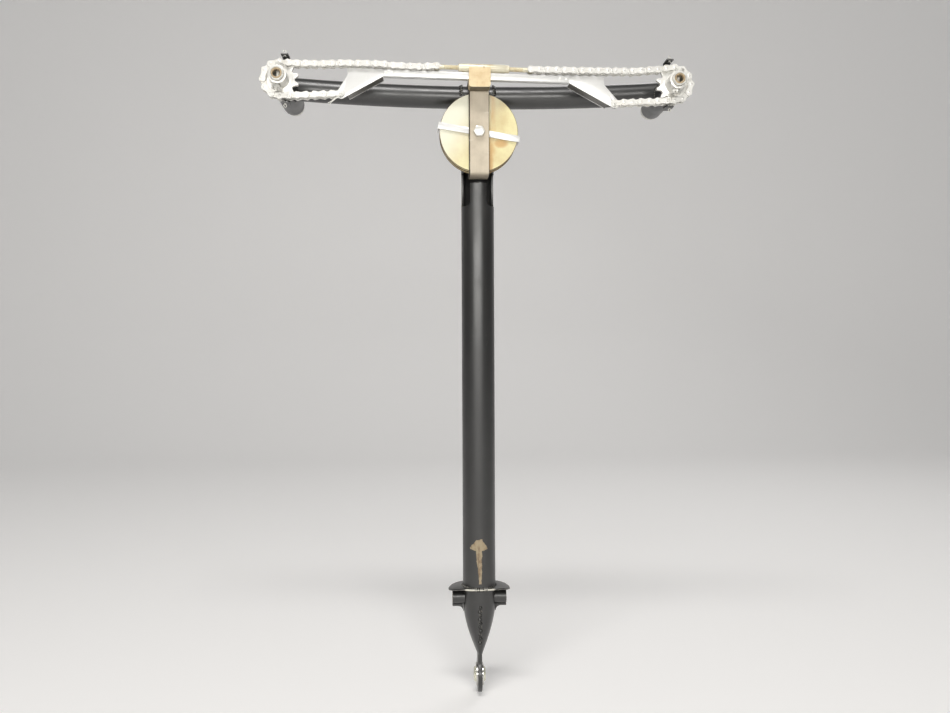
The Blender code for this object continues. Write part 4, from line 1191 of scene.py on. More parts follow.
@dataclass(frozen=True)
class Studio:
    """Camera, lights, floor and backdrop."""

    camera_place: Point = (-0.0583, -0.9810, 0.2944)
    camera_turn: Point = (89.254, 0.2515, -3.1857)
    focal_pixels: float = 839.3
    picture_width: float = 950.0
    sensor: float = 36.0
    nearest_seen: float = 0.01
    floor_level: float = -0.1135
    floor_size: float = 12
    floor_middle: float = -4.0
    floor_colour: Colour = (0.80, 0.79, 0.78)
    floor_roughness: float = 0.9
    floor_glow: float = 0.30
    sweep_steps: int = 9
    sweep_step: float = 0.12
    backdrop_height: float = 6
    air_colour: Colour = (1.0, 0.995, 0.985)
    air_strength: tuple[float, float] = (0.10, 0.20)

    def build(self) -> None:
        """Set the whole studio up."""
        self.place_camera()
        self.lay_floor()
        for lamp in LAMPS:
            lamp.hang()
        self.set_world()

    def place_camera(self) -> None:
        """Put the camera where the photographer stood."""
        camera = bpy.data.cameras.new("portrait_camera")
        camera.sensor_width = self.sensor
        camera.lens = self.sensor * self.focal_pixels / self.picture_width
        camera.clip_start = self.nearest_seen
        stand = bpy.data.objects.new("portrait_camera", camera)
        stand.location = self.camera_place
        stand.rotation_euler = [math.radians(angle) for angle in self.camera_turn]
        bpy.context.scene.collection.objects.link(stand)
        bpy.context.scene.camera = stand

    def lay_floor(self) -> None:
        """Lay a pale floor that sweeps up into a backdrop."""
        Bench.release()
        bpy.ops.mesh.primitive_plane_add(size=self.floor_size,
                                         location=(0, self.floor_middle, self.floor_level))
        floor = Bench.named("studio_floor")
        Bench.settle(floor)
        bpy.ops.object.mode_set(mode="EDIT")
        back = self.floor_middle + self.floor_size / 2
        Bench.pick(lambda co: co.y > back - self.sweep_step, "EDGE")
        for step in range(self.sweep_steps):
            angle = math.radians(90 / self.sweep_steps * (step + 0.5))
            move = (0, self.sweep_step * math.cos(angle), self.sweep_step * math.sin(angle))
            bpy.ops.mesh.extrude_region_move(TRANSFORM_OT_translate={"value": move})
        bpy.ops.mesh.extrude_region_move(
            TRANSFORM_OT_translate={"value": (0, 0, self.backdrop_height)})
        bpy.ops.object.mode_set(mode="OBJECT")
        Bench.fix_normals(floor)
        Bench.smooth(floor)
        floor.data.materials.append(self.studio_paper())

    def studio_paper(self) -> bpy.types.Material:
        """Make the floor's pale paper, which glows a little where it is seen.

        Returns:
            The material.
        """
        material = bpy.data.materials.new("studio_paper")
        material.use_nodes = True
        wire = Wire(material.node_tree)
        shader = material.node_tree.nodes["Principled BSDF"]
        shader.inputs["Base Color"].default_value = (*self.floor_colour, 1)
        shader.inputs["Roughness"].default_value = self.floor_roughness
        share = wire.product(self.seen_rays(wire), self.floor_glow)
        wire.link(wire.mixed(share, (0.0, 0.0, 0.0), self.floor_colour),
                  shader.inputs["Emission Color"])
        shader.inputs["Emission Strength"].default_value = 1.0
        return material

    @staticmethod
    def seen_rays(wire: Wire) -> Socket:
        """One where the camera, a reflection or a transmission sees the surface, else nought.

        Args:
            wire: the wiring of the material or the world.

        Returns:
            The mask.
        """
        rays = wire.node("ShaderNodeLightPath")
        seen = wire.maths("MAXIMUM", rays.outputs["Is Camera Ray"], rays.outputs["Is Glossy Ray"])
        return wire.maths("MAXIMUM", seen, rays.outputs["Is Transmission Ray"])

    def set_world(self) -> None:
        """Fill the surroundings with an even pale light."""
        world = bpy.data.worlds.new("studio_air")
        world.use_nodes = True
        background = world.node_tree.nodes["Background"]
        background.inputs["Color"].default_value = (*self.air_colour, 1)
        wire = Wire(world.node_tree)
        wire.link(wire.ramp(self.seen_rays(wire), 0, 1, *self.air_strength),
                  background.inputs["Strength"])
        bpy.context.scene.world = world


# Fasteners


@dataclass(frozen=True)
class Fastener:
    """Hexagon heads, nuts, threads and split pins, made to size."""

    facets: int = 32
    corner_margin: float = 1.03
    corner_drop: float = 0.62
    face_share: float = 0.95
    edge_round: float = 0.00012
    crisp_degrees: float = 30
    thread_depth: float = 0.55
    thread_facets: int = 20
    bore_past: float = 0.002

    def hexagon(self, name: str, flats: float, start: float, end: float, axis: Axis,
                centre: Point, turn: float = 0.0, domed: tuple[bool, bool] = (True, True)
                ) -> Piece:
        """Hexagon with its corners turned off at the ends.

        Args:
            name: the piece's name.
            flats: width across flats.
            start: first end's place along the axis.
            end: second end's place along the axis.
            axis: the hexagon's axis.
            centre: the point that the places count from.
            turn: turn about the axis in degrees.
            domed: whether each end's corners are turned off.

        Returns:
            The hexagon.
        """
        Bench.release()
        bpy.ops.mesh.primitive_cylinder_add(
            vertices=6, radius=flats / math.sqrt(3), depth=end - start,
            location=(0, 0, (start + end) / 2), rotation=(0, 0, math.radians(turn)))
        body = Bench.named(name)
        Bench.settle(body)
        across = flats / 2
        corner = flats / math.sqrt(3) * self.corner_margin
        drop = (corner - across) * self.corner_drop
        face = across * self.face_share
        profile = [(face, start if domed[0] else start - drop),
                   (corner, start + drop if domed[0] else start - drop / 2),
                   (corner, end - drop if domed[1] else end + drop / 2),
                   (face, end if domed[1] else end + drop)]
        dome = Bench.turned("turning", profile, Axis.Z, (0, 0, 0), self.facets)
        Bench.carve(body, [dome], "INTERSECT")
        body.rotation_euler = axis.value
        body.location = centre
        Bench.settle(body)
        Bench.soften(body, self.edge_round, 1)
        Bench.smooth(body, self.crisp_degrees)
        return body

    def bored(self, nut: Piece, bore: float, start: float, end: float, axis: Axis,
              centre: Point, facets: int, slots: Sequence[Piece] = ()) -> None:
        """Bore a nut through, and cut its slots.

        Args:
            nut: the solid hexagon.
            bore: radius of the bore.
            start: first end's place along the axis.
            end: second end's place along the axis.
            axis: the nut's axis.
            centre: the point that the places count from.
            facets: corners of the bore.
            slots: tools that cut the slots.
        """
        tool = Bench.rod("bore", bore, start - self.bore_past, end + self.bore_past, axis,
                         centre, facets)
        Bench.carve(nut, [tool, *slots])
        Bench.smooth(nut, self.crisp_degrees)

    def thread(self, name: str, radius: float, start: float, end: float, axis: Axis,
               centre: Point, pitch: float = 0.0009) -> Piece:
        """Threaded end of a bolt, turned as fine ridges.

        Args:
            name: the piece's name.
            radius: outer radius.
            start: first end's place along the axis.
            end: second end's place along the axis.
            axis: the thread's axis.
            centre: the point that the places count from.
            pitch: distance from ridge to ridge.

        Returns:
            The threaded rod.
        """
        count = max(2, round((end - start) / pitch))
        step = (end - start) / count
        root = radius - self.thread_depth * abs(step)
        profile = [(root, start)]
        for turn in range(count):
            profile.append((radius, start + (turn + 0.5) * step))
            profile.append((root, start + (turn + 1) * step))
        return Bench.turned(name, profile, axis, centre, self.thread_facets)

    def split_pin(self, name: str, eye: float, wire: float, leg: float, spread: float,
                  place: Matrix) -> Piece:
        """Split pin: a ring of wire and two legs that part at their ends.

        Args:
            name: the piece's name.
            eye: radius of the ring's centre line.
            wire: radius of the wire.
            leg: length of the legs.
            spread: how far each leg's end bends out.
            place: puts the pin, made with its legs down -Z, where it belongs.

        Returns:
            The pin.
        """
        Bench.release()
        bpy.ops.mesh.primitive_torus_add(major_radius=eye, minor_radius=wire,
                                         major_segments=20, minor_segments=8,
                                         location=(0, 0, eye + wire),
                                         rotation=(math.pi / 2, 0, 0))
        ring = Bench.settle(Bench.named(name))
        pieces = [ring]
        for sign in (-1, 1):
            bpy.ops.object.select_all(action="DESELECT")
            bpy.ops.mesh.primitive_circle_add(vertices=8, radius=wire, fill_type="NGON",
                                              location=(sign * wire * 1.05, 0, wire))
            shank = Bench.settle(Bench.named(f"{name}_leg"))
            bpy.ops.object.mode_set(mode="EDIT")
            bpy.ops.mesh.select_all(action="SELECT")
            for share, out in ((0.5, 0.0), (0.22, 0.0), (0.16, 0.45), (0.12, 0.55)):
                move = (sign * spread * out, 0, -leg * share)
                bpy.ops.mesh.extrude_region_move(TRANSFORM_OT_translate={"value": move})
            bpy.ops.object.mode_set(mode="OBJECT")
            Bench.fix_normals(shank)
            pieces.append(shank)
        pin = Bench.joined(name, pieces)
        pin.data.transform(place)
        if place.determinant() < 0:
            pin.data.flip_normals()
        Bench.smooth(pin, degrees=50)
        return pin


# Chain


@dataclass
class RollerChain:
    """Roller chain of 3/8 inch pitch, laid in runs."""

    shop: PaintShop
    plate_radius: float = 0.0040
    waist: float = 0.0027
    plate_thickness: float = 0.00122
    inner_start: float = 0.002385
    outer_start: float = 0.003805
    roller_radius: float = 0.00254
    pin_radius: float = 0.00179
    pin_reach: float = 0.00525
    pin_taper: float = 0.72
    pin_chamfer: float = 0.0003
    roller_overlap: float = 0.0002
    plate_edge: float = 0.00022
    top_slack: dict[Side, tuple[tuple[float, float], ...]] = field(default_factory=lambda: {
        Side.LEFT: ((0.0, PITCH_RADIUS), (0.0220, 0.0174), (0.0440, 0.0174), (0.0691, 0.0184),
                    (0.1071, 0.0182), (0.1301, 0.0162), (0.1531, 0.0156),
                    (18 * PITCH, TOP_LEVEL + 0.00108)),
        Side.RIGHT: ((0.0, PITCH_RADIUS), (0.0211, 0.0160), (0.0491, 0.0137),
                     (0.1231, 0.0138), (17 * PITCH, TOP_LEVEL - 0.00130))})
    top_pitches: dict[Side, int] = field(
        default_factory=lambda: {Side.LEFT: 18, Side.RIGHT: 17})
    lower_pitches: int = 7
    outer_link: Piece | None = None
    inner_link: Piece | None = None

    def plate(self, name: str, start: float) -> Piece:
        """Waisted link plate, in front of the chain's plane by its start.

        Args:
            name: the piece's name.
            start: distance of its near face from the plane.

        Returns:
            The plate, centred on the link.
        """
        Bench.release()
        bpy.ops.mesh.primitive_circle_add(vertices=16, radius=self.plate_radius,
                                          fill_type="NGON", rotation=(0, 0, math.pi / 16))
        piece = Bench.settle(Bench.named(name))
        bpy.ops.object.mode_set(mode="EDIT")
        for sign in (-1, 1):
            Bench.pick(lambda co: co.x * sign > 0)
            bpy.ops.transform.translate(value=(sign * PITCH / 2, 0, 0))
        bm = bmesh.from_edit_mesh(piece.data)
        for edge in bm.edges:
            ends = [corner.co.x for corner in edge.verts]
            edge.select = min(ends) < 0 < max(ends)
        bmesh.update_edit_mesh(piece.data)
        bpy.ops.mesh.subdivide(number_cuts=1)
        Bench.pick(lambda co: abs(co.x) < 1e-5)
        share = self.waist / self.plate_radius
        bpy.ops.transform.resize(value=(1, share, 1), center_override=(0, 0, 0))
        bpy.ops.mesh.select_all(action="SELECT")
        bpy.ops.mesh.extrude_region_move(
            TRANSFORM_OT_translate={"value": (0, 0, self.plate_thickness)})
        bpy.ops.object.mode_set(mode="OBJECT")
        piece.data.transform(Matrix.Translation((0, 0, start)))
        piece.data.transform(Matrix.Rotation(math.pi / 2, 4, "X"))
        Bench.fix_normals(piece)
        Bench.soften(piece, self.plate_edge, 1)
        return piece

    def build_links(self) -> None:
        """Model one outer and one inner link, centred on the origin."""
        half, reach, pin = PITCH / 2, self.pin_reach, self.pin_radius
        mirror = Matrix.Diagonal((1, -1, 1, 1))
        outer = [self.plate("outer_plate", self.outer_start)]
        outer.append(Bench.copied(outer[0], "outer_plate_rear", mirror))
        inner = [self.plate("inner_plate", self.inner_start)]
        inner.append(Bench.copied(inner[0], "inner_plate_rear", mirror))
        tip, shoulder = pin * self.pin_taper, reach - self.pin_chamfer
        profile = [(tip, -reach), (pin, -shoulder), (pin, shoulder), (tip, reach)]
        width = self.inner_start + self.roller_overlap
        for sign in (-1, 1):
            spot = (sign * half, 0, 0)
            outer.append(Bench.turned("link_pin", profile, Axis.Y, spot, 12))
            inner.append(Bench.rod("roller", self.roller_radius, -width, width, Axis.Y, spot, 14))
        self.outer_link = Bench.joined("outer_link", outer)
        self.inner_link = Bench.joined("inner_link", inner)
        for link in (self.outer_link, self.inner_link):
            Bench.smooth(link, degrees=40)

    def run(self, name: str, pins: Sequence[tuple[float, float]], first_outer: bool
            ) -> Piece:
        """Lay links along a run of pins.

        Args:
            name: the piece's name.
            pins: each pin's X and Z.
            first_outer: whether the first link is an outer one.

        Returns:
            The run as one piece.
        """
        links = []
        for index, ((x0, z0), (x1, z1)) in enumerate(zip(pins, pins[1:])):
            pattern = self.outer_link if first_outer == (index % 2 == 0) else self.inner_link
            place = Matrix.Translation(((x0 + x1) / 2, CHAIN_PLANE, (z0 + z1) / 2))
            place @= Matrix.Rotation(-math.atan2(z1 - z0, x1 - x0), 4, "Y")
            links.append(Bench.copied(pattern, f"{name}_{index}", place))
        return Bench.joined(name, links)

    def slack_height(self, side: Side, inward: float) -> float:
        """Height of the upper run above the sprockets' axis.

        Args:
            side: which side of the turnbuckle.
            inward: distance in from the wheel shaft.

        Returns:
            The height.
        """
        places = self.top_slack[side]
        for (near, near_height), (far, far_height) in zip(places, places[1:]):
            if near <= inward <= far:
                share = (inward - near) / (far - near)
                return near_height + (far_height - near_height) * share * share * (3 - 2 * share)
        return places[-1][1]

    def wrap_pins(self, side: Side) -> list[tuple[float, float]]:
        """Pins round the outer half of a sprocket, from its top down."""
        pins = []
        for step in range(TEETH // 2 + 1):
            angle = math.pi / 2 - side.value * step * 2 * math.pi / TEETH
            pins.append((side.value * WHEEL_X + PITCH_RADIUS * math.cos(angle),
                         AXIS_Z + PITCH_RADIUS * math.sin(angle)))
        return pins

    def upper_pins(self, side: Side) -> list[tuple[float, float]]:
        """Pins of the upper run, from the wheel shaft in to the turnbuckle."""
        return [(side.value * (WHEEL_X - step * PITCH),
                 AXIS_Z + self.slack_height(side, step * PITCH))
                for step in range(self.top_pitches[side] + 1)]

    def lower_pins(self, side: Side) -> list[tuple[float, float]]:
        """Pins of the lower run, from the sprocket in to the end plate."""
        near = on_slope(LINK_LEVEL, side.value * (WHEEL_X - self.lower_pitches * PITCH),
                        -PITCH_RADIUS - LINK_LEVEL)
        far = (side.value * WHEEL_X, AXIS_Z - PITCH_RADIUS)
        pins = []
        for step in range(self.lower_pitches + 1):
            share = step / self.lower_pitches
            pins.append((far[0] + (near[0] - far[0]) * share,
                         far[1] + (near[1] - far[1]) * share))
        return pins

    def build(self) -> None:
        """Lay every run, wrap each sprocket and clear the pattern links away."""
        self.build_links()
        finish = self.shop["chain_plating"]
        for side in Side:
            left = side is Side.LEFT
            wrap = self.run(f"chain_round_{side.label}", self.wrap_pins(side), left)
            fit(wrap, "column", finish, Slot.CHAIN_STEEL, f"chain_wrap_{side.label}")
            upper = self.run(f"upper_chain_{side.label}", self.upper_pins(side), not left)
            fit(upper, "column", finish, Slot.CHAIN_STEEL, f"chain_upper_{side.label}")
            self.stretch(upper, "turnbuckle", self.upper_pins(side))
            lower = self.run(f"lower_chain_{side.label}", self.lower_pins(side), left)
            fit(lower, "column", finish, Slot.CHAIN_STEEL, f"chain_lower_{side.label}")
            self.stretch(lower, "tie_link", self.lower_pins(side))
        for pattern in (self.outer_link, self.inner_link):
            bpy.data.objects.remove(pattern, do_unlink=True)

    @staticmethod
    def stretch(run: Piece, body: str, pins: Sequence[tuple[float, float]]) -> None:
        """Unparent a run and put its place into its mesh.

        Args:
            run: the run.
            body: not used.
            pins: not used.
        """
        run.parent = None
        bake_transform(run)


# Wheel drive


@dataclass
class WheelDrive:
    """Sprocket, hollow shaft, liner, hub bolt and collar of one wheel."""

    shop: PaintShop
    side: Side
    tooth_edge: float = 0.0003
    shaft_radius: float = 0.00715
    shaft_bore: float = 0.00595
    shaft_front: float = -0.0710
    shaft_rear: float = 0.0620
    shaft_edge: float = 0.00035
    liner_bore: float = 0.00405
    liner_outer: float = 0.00565
    liner_inset: float = 0.0002
    liner_length: float = 0.0050
    liner_edge: float = 0.00025
    bolt_y: float = -0.0607
    bolt_lean: float = 10.0
    bolt_turn: float = 12
    bolt_radius: float = 0.00238
    bolt_flats: float = 0.0095
    seat: float = 0.0103
    head_height: float = 0.0032
    nut_height: float = 0.0045
    slot_low: Point = (-0.008, -0.0007, -0.0009)
    slot_high: Point = (0.008, 0.0007, 0.0018)
    pin_sizes: tuple[float, float, float, float] = (0.0007, 0.00035, 0.0104, 0.0016)
    pin_ahead: float = 0.0050
    pin_above: float = 0.0008
    collar_bore: float = 0.00745
    collar_radius: float = 0.0110
    collar_front: float = 0.0520
    collar_rear: float = 0.0600
    collar_edge: float = 0.0006
    screw_hole: tuple[float, float, float] = (0.0016, 0.0092, 0.0130)
    screw_profile: Profile = ((0.0015, 0.0089), (0.0015, 0.0104), (0.0012, 0.0107))
    driver_slot: tuple[float, float] = (0.0100, 0.0112)
    driver_half: tuple[float, float] = (0.002, 0.0002)

    @property
    def centre(self) -> Point:
        """A point on the shaft's axis."""
        return (self.side.value * WHEEL_X, 0, AXIS_Z)

    @property
    def body(self) -> str:
        """The body that the pieces turn with."""
        return f"wheel_{self.side.label}"

    def build(self) -> None:
        """Build every piece of the drive."""
        self.build_sprocket()
        self.build_shaft()
        self.build_hub_bolt()
        self.build_collar()

    def build_sprocket(self) -> None:
        """Sprocket with softened teeth."""
        label = self.side.label
        rework(f"sprocket_{label}", f"toothed_wheel_{label}", self.body,
               self.shop["chain_plating"], Slot.CHAIN_STEEL, self.tooth_edge)

    def build_shaft(self) -> None:
        """Hollow shaft with its brown liner at the front."""
        label = self.side.label
        shaft = Bench.ring(f"hollow_shaft_{label}", self.shaft_bore, self.shaft_radius,
                           self.shaft_front, self.shaft_rear, Axis.Y, self.centre,
                           self.shaft_edge)
        fit(shaft, self.body, self.shop["bright_zinc"], Slot.BRIGHT_PLATE,
            f"wheel_shaft_{label}")
        liner = Bench.ring(f"shaft_liner_{label}", self.liner_bore, self.liner_outer,
                           self.shaft_front + self.liner_inset,
                           self.shaft_front + self.liner_length,
                           Axis.Y, self.centre, self.liner_edge)
        fit(liner, self.body, self.shop["tan_liner"], Slot.TAN_PLASTIC,
            f"shaft_insert_{label}")

    def build_hub_bolt(self) -> None:
        """Bolt across the hub, with a slotted nut and its split pin below."""
        label, maker, zinc = self.side.label, Fastener(), self.shop["bright_zinc"]
        spot = (self.centre[0], self.bolt_y, AXIS_Z)
        seat, end = self.seat, self.seat + self.nut_height
        head = maker.hexagon(f"hub_bolt_head_{label}", self.bolt_flats, seat,
                             seat + self.head_height, Axis.Z, spot, self.bolt_turn,
                             (False, True))
        shank = Bench.rod("shank", self.bolt_radius, -seat, seat, Axis.Z, spot, 20)
        thread = maker.thread("thread", self.bolt_radius, -seat, -end, Axis.Z, spot)
        bolt = self.leaning(Bench.joined(f"hub_screw_{label}", [head, shank, thread]))
        fit(bolt, self.body, zinc, Slot.BRIGHT_BOLT, f"hub_bolt_{label}")
        nut = maker.hexagon(f"slotted_nut_{label}", self.bolt_flats, -end, -seat, Axis.Z,
                            spot, self.bolt_turn, (True, False))
        slots = []
        for turn in (0, 60, 120):
            slot = Bench.block("slot", self.slot_low, self.slot_high)
            angle = math.radians(turn + self.bolt_turn)
            slot.data.transform(Matrix.Translation((*spot[:2], AXIS_Z - end))
                                @ Matrix.Rotation(angle, 4, "Z"))
            slots.append(slot)
        maker.bored(nut, self.bolt_radius + THREAD_GAP, -end, -seat, Axis.Z, spot, 20, slots)
        fit(self.leaning(nut), self.body, zinc, Slot.BRIGHT_BOLT, f"hub_nut_{label}")
        place = Matrix.Translation((spot[0], spot[1] - self.pin_ahead,
                                    AXIS_Z - end + self.pin_above))
        pin = maker.split_pin(f"nut_pin_{label}", *self.pin_sizes,
                              place @ Matrix.Rotation(math.pi / 2, 4, "X"))
        fit(self.leaning(pin), self.body, zinc, Slot.BRIGHT_BOLT)

    def leaning(self, piece: Piece) -> Piece:
        """Turn a piece of the hub bolt a little about the shaft, as the wheel stands.

        Args:
            piece: the piece, made upright.

        Returns:
            The same piece, turned.
        """
        pivot = Matrix.Translation((self.centre[0], 0, AXIS_Z))
        turn = Matrix.Rotation(math.radians(self.bolt_lean), 4, "Y")
        piece.matrix_world = pivot @ turn @ pivot.inverted() @ piece.matrix_world
        return Bench.settle(piece)

    def build_collar(self) -> None:
        """Collar behind the housing, with a set screw."""
        label, middle = self.side.label, (self.collar_front + self.collar_rear) / 2
        collar = Bench.ring(f"set_collar_{label}", self.collar_bore, self.collar_radius,
                            self.collar_front, self.collar_rear, Axis.Y, self.centre,
                            self.collar_edge)
        spot = (self.centre[0], middle, AXIS_Z)
        Bench.carve(collar, [Bench.rod("screw_hole", *self.screw_hole, Axis.Z, spot, 16)])
        Bench.smooth(collar)
        fit(collar, self.body, self.shop["bright_zinc"], Slot.BRIGHT_PLATE,
            f"shaft_collar_{label}")
        screw = Bench.turned(f"set_screw_{label}", self.screw_profile, Axis.Z, spot, 16)
        (low, high), (half_length, half_width) = self.driver_slot, self.driver_half
        slot = Bench.block("driver_slot",
                           (spot[0] - half_length, middle - half_width, AXIS_Z + low),
                           (spot[0] + half_length, middle + half_width, AXIS_Z + high))
        Bench.carve(screw, [slot])
        Bench.smooth(screw, degrees=30)
        fit(screw, self.body, self.shop["bearing_steel"], Slot.BRIGHT_BOLT)


@dataclass
class ShaftHousing:
    """Housing, bushes and chain guard that stay on the column at one end of the crossbar."""

    shop: PaintShop
    side: Side
    housing_edge: float = 0.0004
    bush_edge: float = 0.0002
    guard_edge: float = 0.0003
    guard_radius: float = 0.0269
    guard_offset: float = 0.0060
    guard_pin_y: float = -0.0502
    guard_pin_above: float = 0.0003
    guard_pin_turn: float = 20
    guard_pin_sizes: tuple[float, float, float, float] = (0.0016, 0.0005, 0.0040, 0.0018)
    bar_end_height: float = 0.5905
    housing_radius: float = 0.0127
    weld_steps: int = 40
    weld_reach: float = 0.86

    def build(self) -> None:
        """Build every piece of the housing."""
        label, black = self.side.label, self.shop["satin_black_paint"]
        rework(f"shaft_housing_{label}", f"housing_tube_{label}", "column", black,
               Slot.SATIN_BLACK, self.housing_edge)
        for end in ("front", "rear"):
            rework(f"shaft_bush_{label}_{end}", f"bush_{label}_{end}", "column",
                   self.shop["plain_bronze"], Slot.BRONZE_BUSH, self.bush_edge, 1)
        rework(f"chain_guard_{label}", f"guard_strip_{label}", "column", black,
               Slot.SATIN_BLACK, self.guard_edge, 1)
        self.build_guard_pins()
        self.build_end_weld()

    def build_guard_pins(self) -> None:
        """Split pins through the guard's two ears."""
        x = self.side.value * (WHEEL_X - self.guard_offset)
        reach = self.guard_radius + self.guard_pin_above
        for level, up in (("upper", 1), ("lower", -1)):
            place = (Matrix.Translation((x, self.guard_pin_y, AXIS_Z + up * reach))
                     @ Matrix.Diagonal((1, 1, up, 1))
                     @ Matrix.Rotation(math.radians(self.guard_pin_turn), 4, "Z"))
            name = f"{self.side.label}_{level}"
            pin = Fastener().split_pin(f"ear_pin_{name}", *self.guard_pin_sizes, place)
            fit(pin, "column", self.shop["bright_zinc"], Slot.BRIGHT_PLATE, f"guard_pin_{name}")

    def build_end_weld(self) -> None:
        """Weld along the cope where the crossbar's end meets the housing."""
        spots, side = [], self.side.value
        for cosine, sine in ring_points(self.weld_steps):
            z = self.bar_end_height + CROSSBAR_RADIUS * sine
            level = z - AXIS_Z
            if abs(level) > self.housing_radius * self.weld_reach:
                continue
            inward = math.sqrt(self.housing_radius ** 2 - level ** 2)
            spots.append((Vector((side * (WHEEL_X - inward), CROSSBAR_RADIUS * cosine, z)),
                          Vector((-side * 0.8, cosine, sine)), Vector((0, -sine, cosine))))
        WeldRun(self.shop).lay(f"crossbar_end_weld_{self.side.label}", spots)


@dataclass
class WeldRun:
    """Weld laid as overlapping scales, modelled once and copied along its path."""

    shop: PaintShop
    width: float = 0.0024
    swell: float = 0.14
    swell_turn: float = 2.399
    scale: Piece | None = None

    def shape_scale(self) -> None:
        """Shape one scale: a low drop whose leading edge is full and whose tail thins out."""
        Bench.release()
        bpy.ops.mesh.primitive_uv_sphere_add(segments=12, ring_count=6, radius=self.width,
                                             location=(0, 0, 0))
        self.scale = Bench.named("weld_scale")
        bpy.ops.object.mode_set(mode="EDIT")
        Bench.pick(lambda co: co.z < -self.width * 0.1)
        bpy.ops.transform.resize(value=(1, 1, 0.35), center_override=(0, 0, 0))
        Bench.pick(lambda co: co.x < -self.width * 0.3)
        bpy.ops.transform.resize(value=(1.35, 0.7, 0.45), center_override=(0, 0, 0))
        Bench.pick(lambda co: co.z > self.width * 0.3)
        bpy.ops.transform.translate(value=(self.width * 0.12, 0, 0))
        bpy.ops.object.mode_set(mode="OBJECT")

    def lay(self, name: str, spots: Sequence[tuple[Vector, Vector, Vector]],
            stretch: Point = (0.62, 1.0, 0.45)) -> None:
        """Lay scales along a path and give them the weld's finish.

        Args:
            name: the piece's name.
            spots: place, outward normal and heading of each scale.
            stretch: size of each scale along its heading, across it and outwards.
        """
        self.shape_scale()
        scales = []
        for index, (place, outward, heading) in enumerate(spots):
            up = outward.normalized()
            along = (heading - up * heading.dot(up)).normalized()
            across = up.cross(along)
            swell = 1 + self.swell * math.sin(index * self.swell_turn)
            turn = Matrix((along, across, up)).transposed().to_4x4()
            size = Matrix.Diagonal((*(share * swell for share in stretch), 1))
            scales.append(Bench.copied(self.scale, f"{name}_{index}",
                                       Matrix.Translation(place) @ turn @ size))
        bpy.data.objects.remove(self.scale, do_unlink=True)
        weld = Bench.joined(name, scales)
        Bench.smooth(weld, degrees=60)
        fit(weld, "column", self.shop["weld_paint"], Slot.SATIN_BLACK)


# Tie link and turnbuckle


@dataclass
class TieLink:
    """Channel bar, end plates and their small fasteners in the lower run."""

    shop: PaintShop
    bar_edge: float = 0.0003
    plate_edge: float = 0.00025
    bar_front: float = CHAIN_PLANE - 0.0027
    bar_reach: dict[Side, float] = field(
        default_factory=lambda: {Side.LEFT: 0.1060, Side.RIGHT: 0.1000})
    rivet_insets: tuple[float, float] = (0.0095, 0.0030)
    rivet_profile: Profile = ((0.0014, 0.0001), (0.0013, -0.0003), (0.0007, -0.00055))
    eye_along: float = 0.1524
    eye_drop: float = 0.0022
    tail_ahead: float = 0.0060
    tail_eye: float = 0.0009
    tail_wire: float = 0.0004
    tail_spread: float = 0.0008
    tail_lean: dict[Side, float] = field(
        default_factory=lambda: {Side.LEFT: 52, Side.RIGHT: -20})
    tail_length: dict[Side, float] = field(
        default_factory=lambda: {Side.LEFT: 0.0170, Side.RIGHT: 0.0050})

    def build(self) -> None:
        """Build the bar, its plates and their fasteners."""
        rework("tie_bar", "channel_bar", "tie_link", self.shop["link_aluminium"],
               Slot.ALUMINIUM_SHEET, self.bar_edge)
        for side in Side:
            rework(f"end_plate_{side.label}", f"folded_plate_{side.label}", "tie_link",
                   self.shop["plate_aluminium"], Slot.ALUMINIUM_SHEET, self.plate_edge)
            self.build_rivets(side)
            self.build_wire_tail(side)

    def build_rivets(self, side: Side) -> None:
        """Rivets through the bar and the end plate's tongue.

        Args:
            side: which end of the bar.
        """
        heads = []
        for inset in self.rivet_insets:
            x, z = on_slope(LINK_LEVEL, side.value * (self.bar_reach[side] - inset))
            heads.append(Bench.turned("rivet", self.rivet_profile, Axis.Y,
                                      (x, self.bar_front, z), 14))
        rivets = Bench.joined(f"bar_rivets_{side.label}", heads)
        fit(rivets, "tie_link", self.shop["bright_zinc"], Slot.ALUMINIUM_SHEET)

    def build_wire_tail(self, side: Side) -> None:
        """Split pin that keeps the lower chain's last pin in the plate's eye.

        Args:
            side: which end of the bar.
        """
        x, z = on_slope(LINK_LEVEL, side.value * self.eye_along,
                        -PITCH_RADIUS - LINK_LEVEL - self.eye_drop)
        place = (Matrix.Translation((x, CHAIN_PLANE - self.tail_ahead, z))
                 @ Matrix.Rotation(math.radians(self.tail_lean[side]), 4, "Y"))
        pin = Fastener().split_pin(f"eye_pin_{side.label}", self.tail_eye, self.tail_wire,
                                   self.tail_length[side], self.tail_spread, place)
        fit(pin, "tie_link", self.shop["bright_zinc"], Slot.BRIGHT_PLATE)


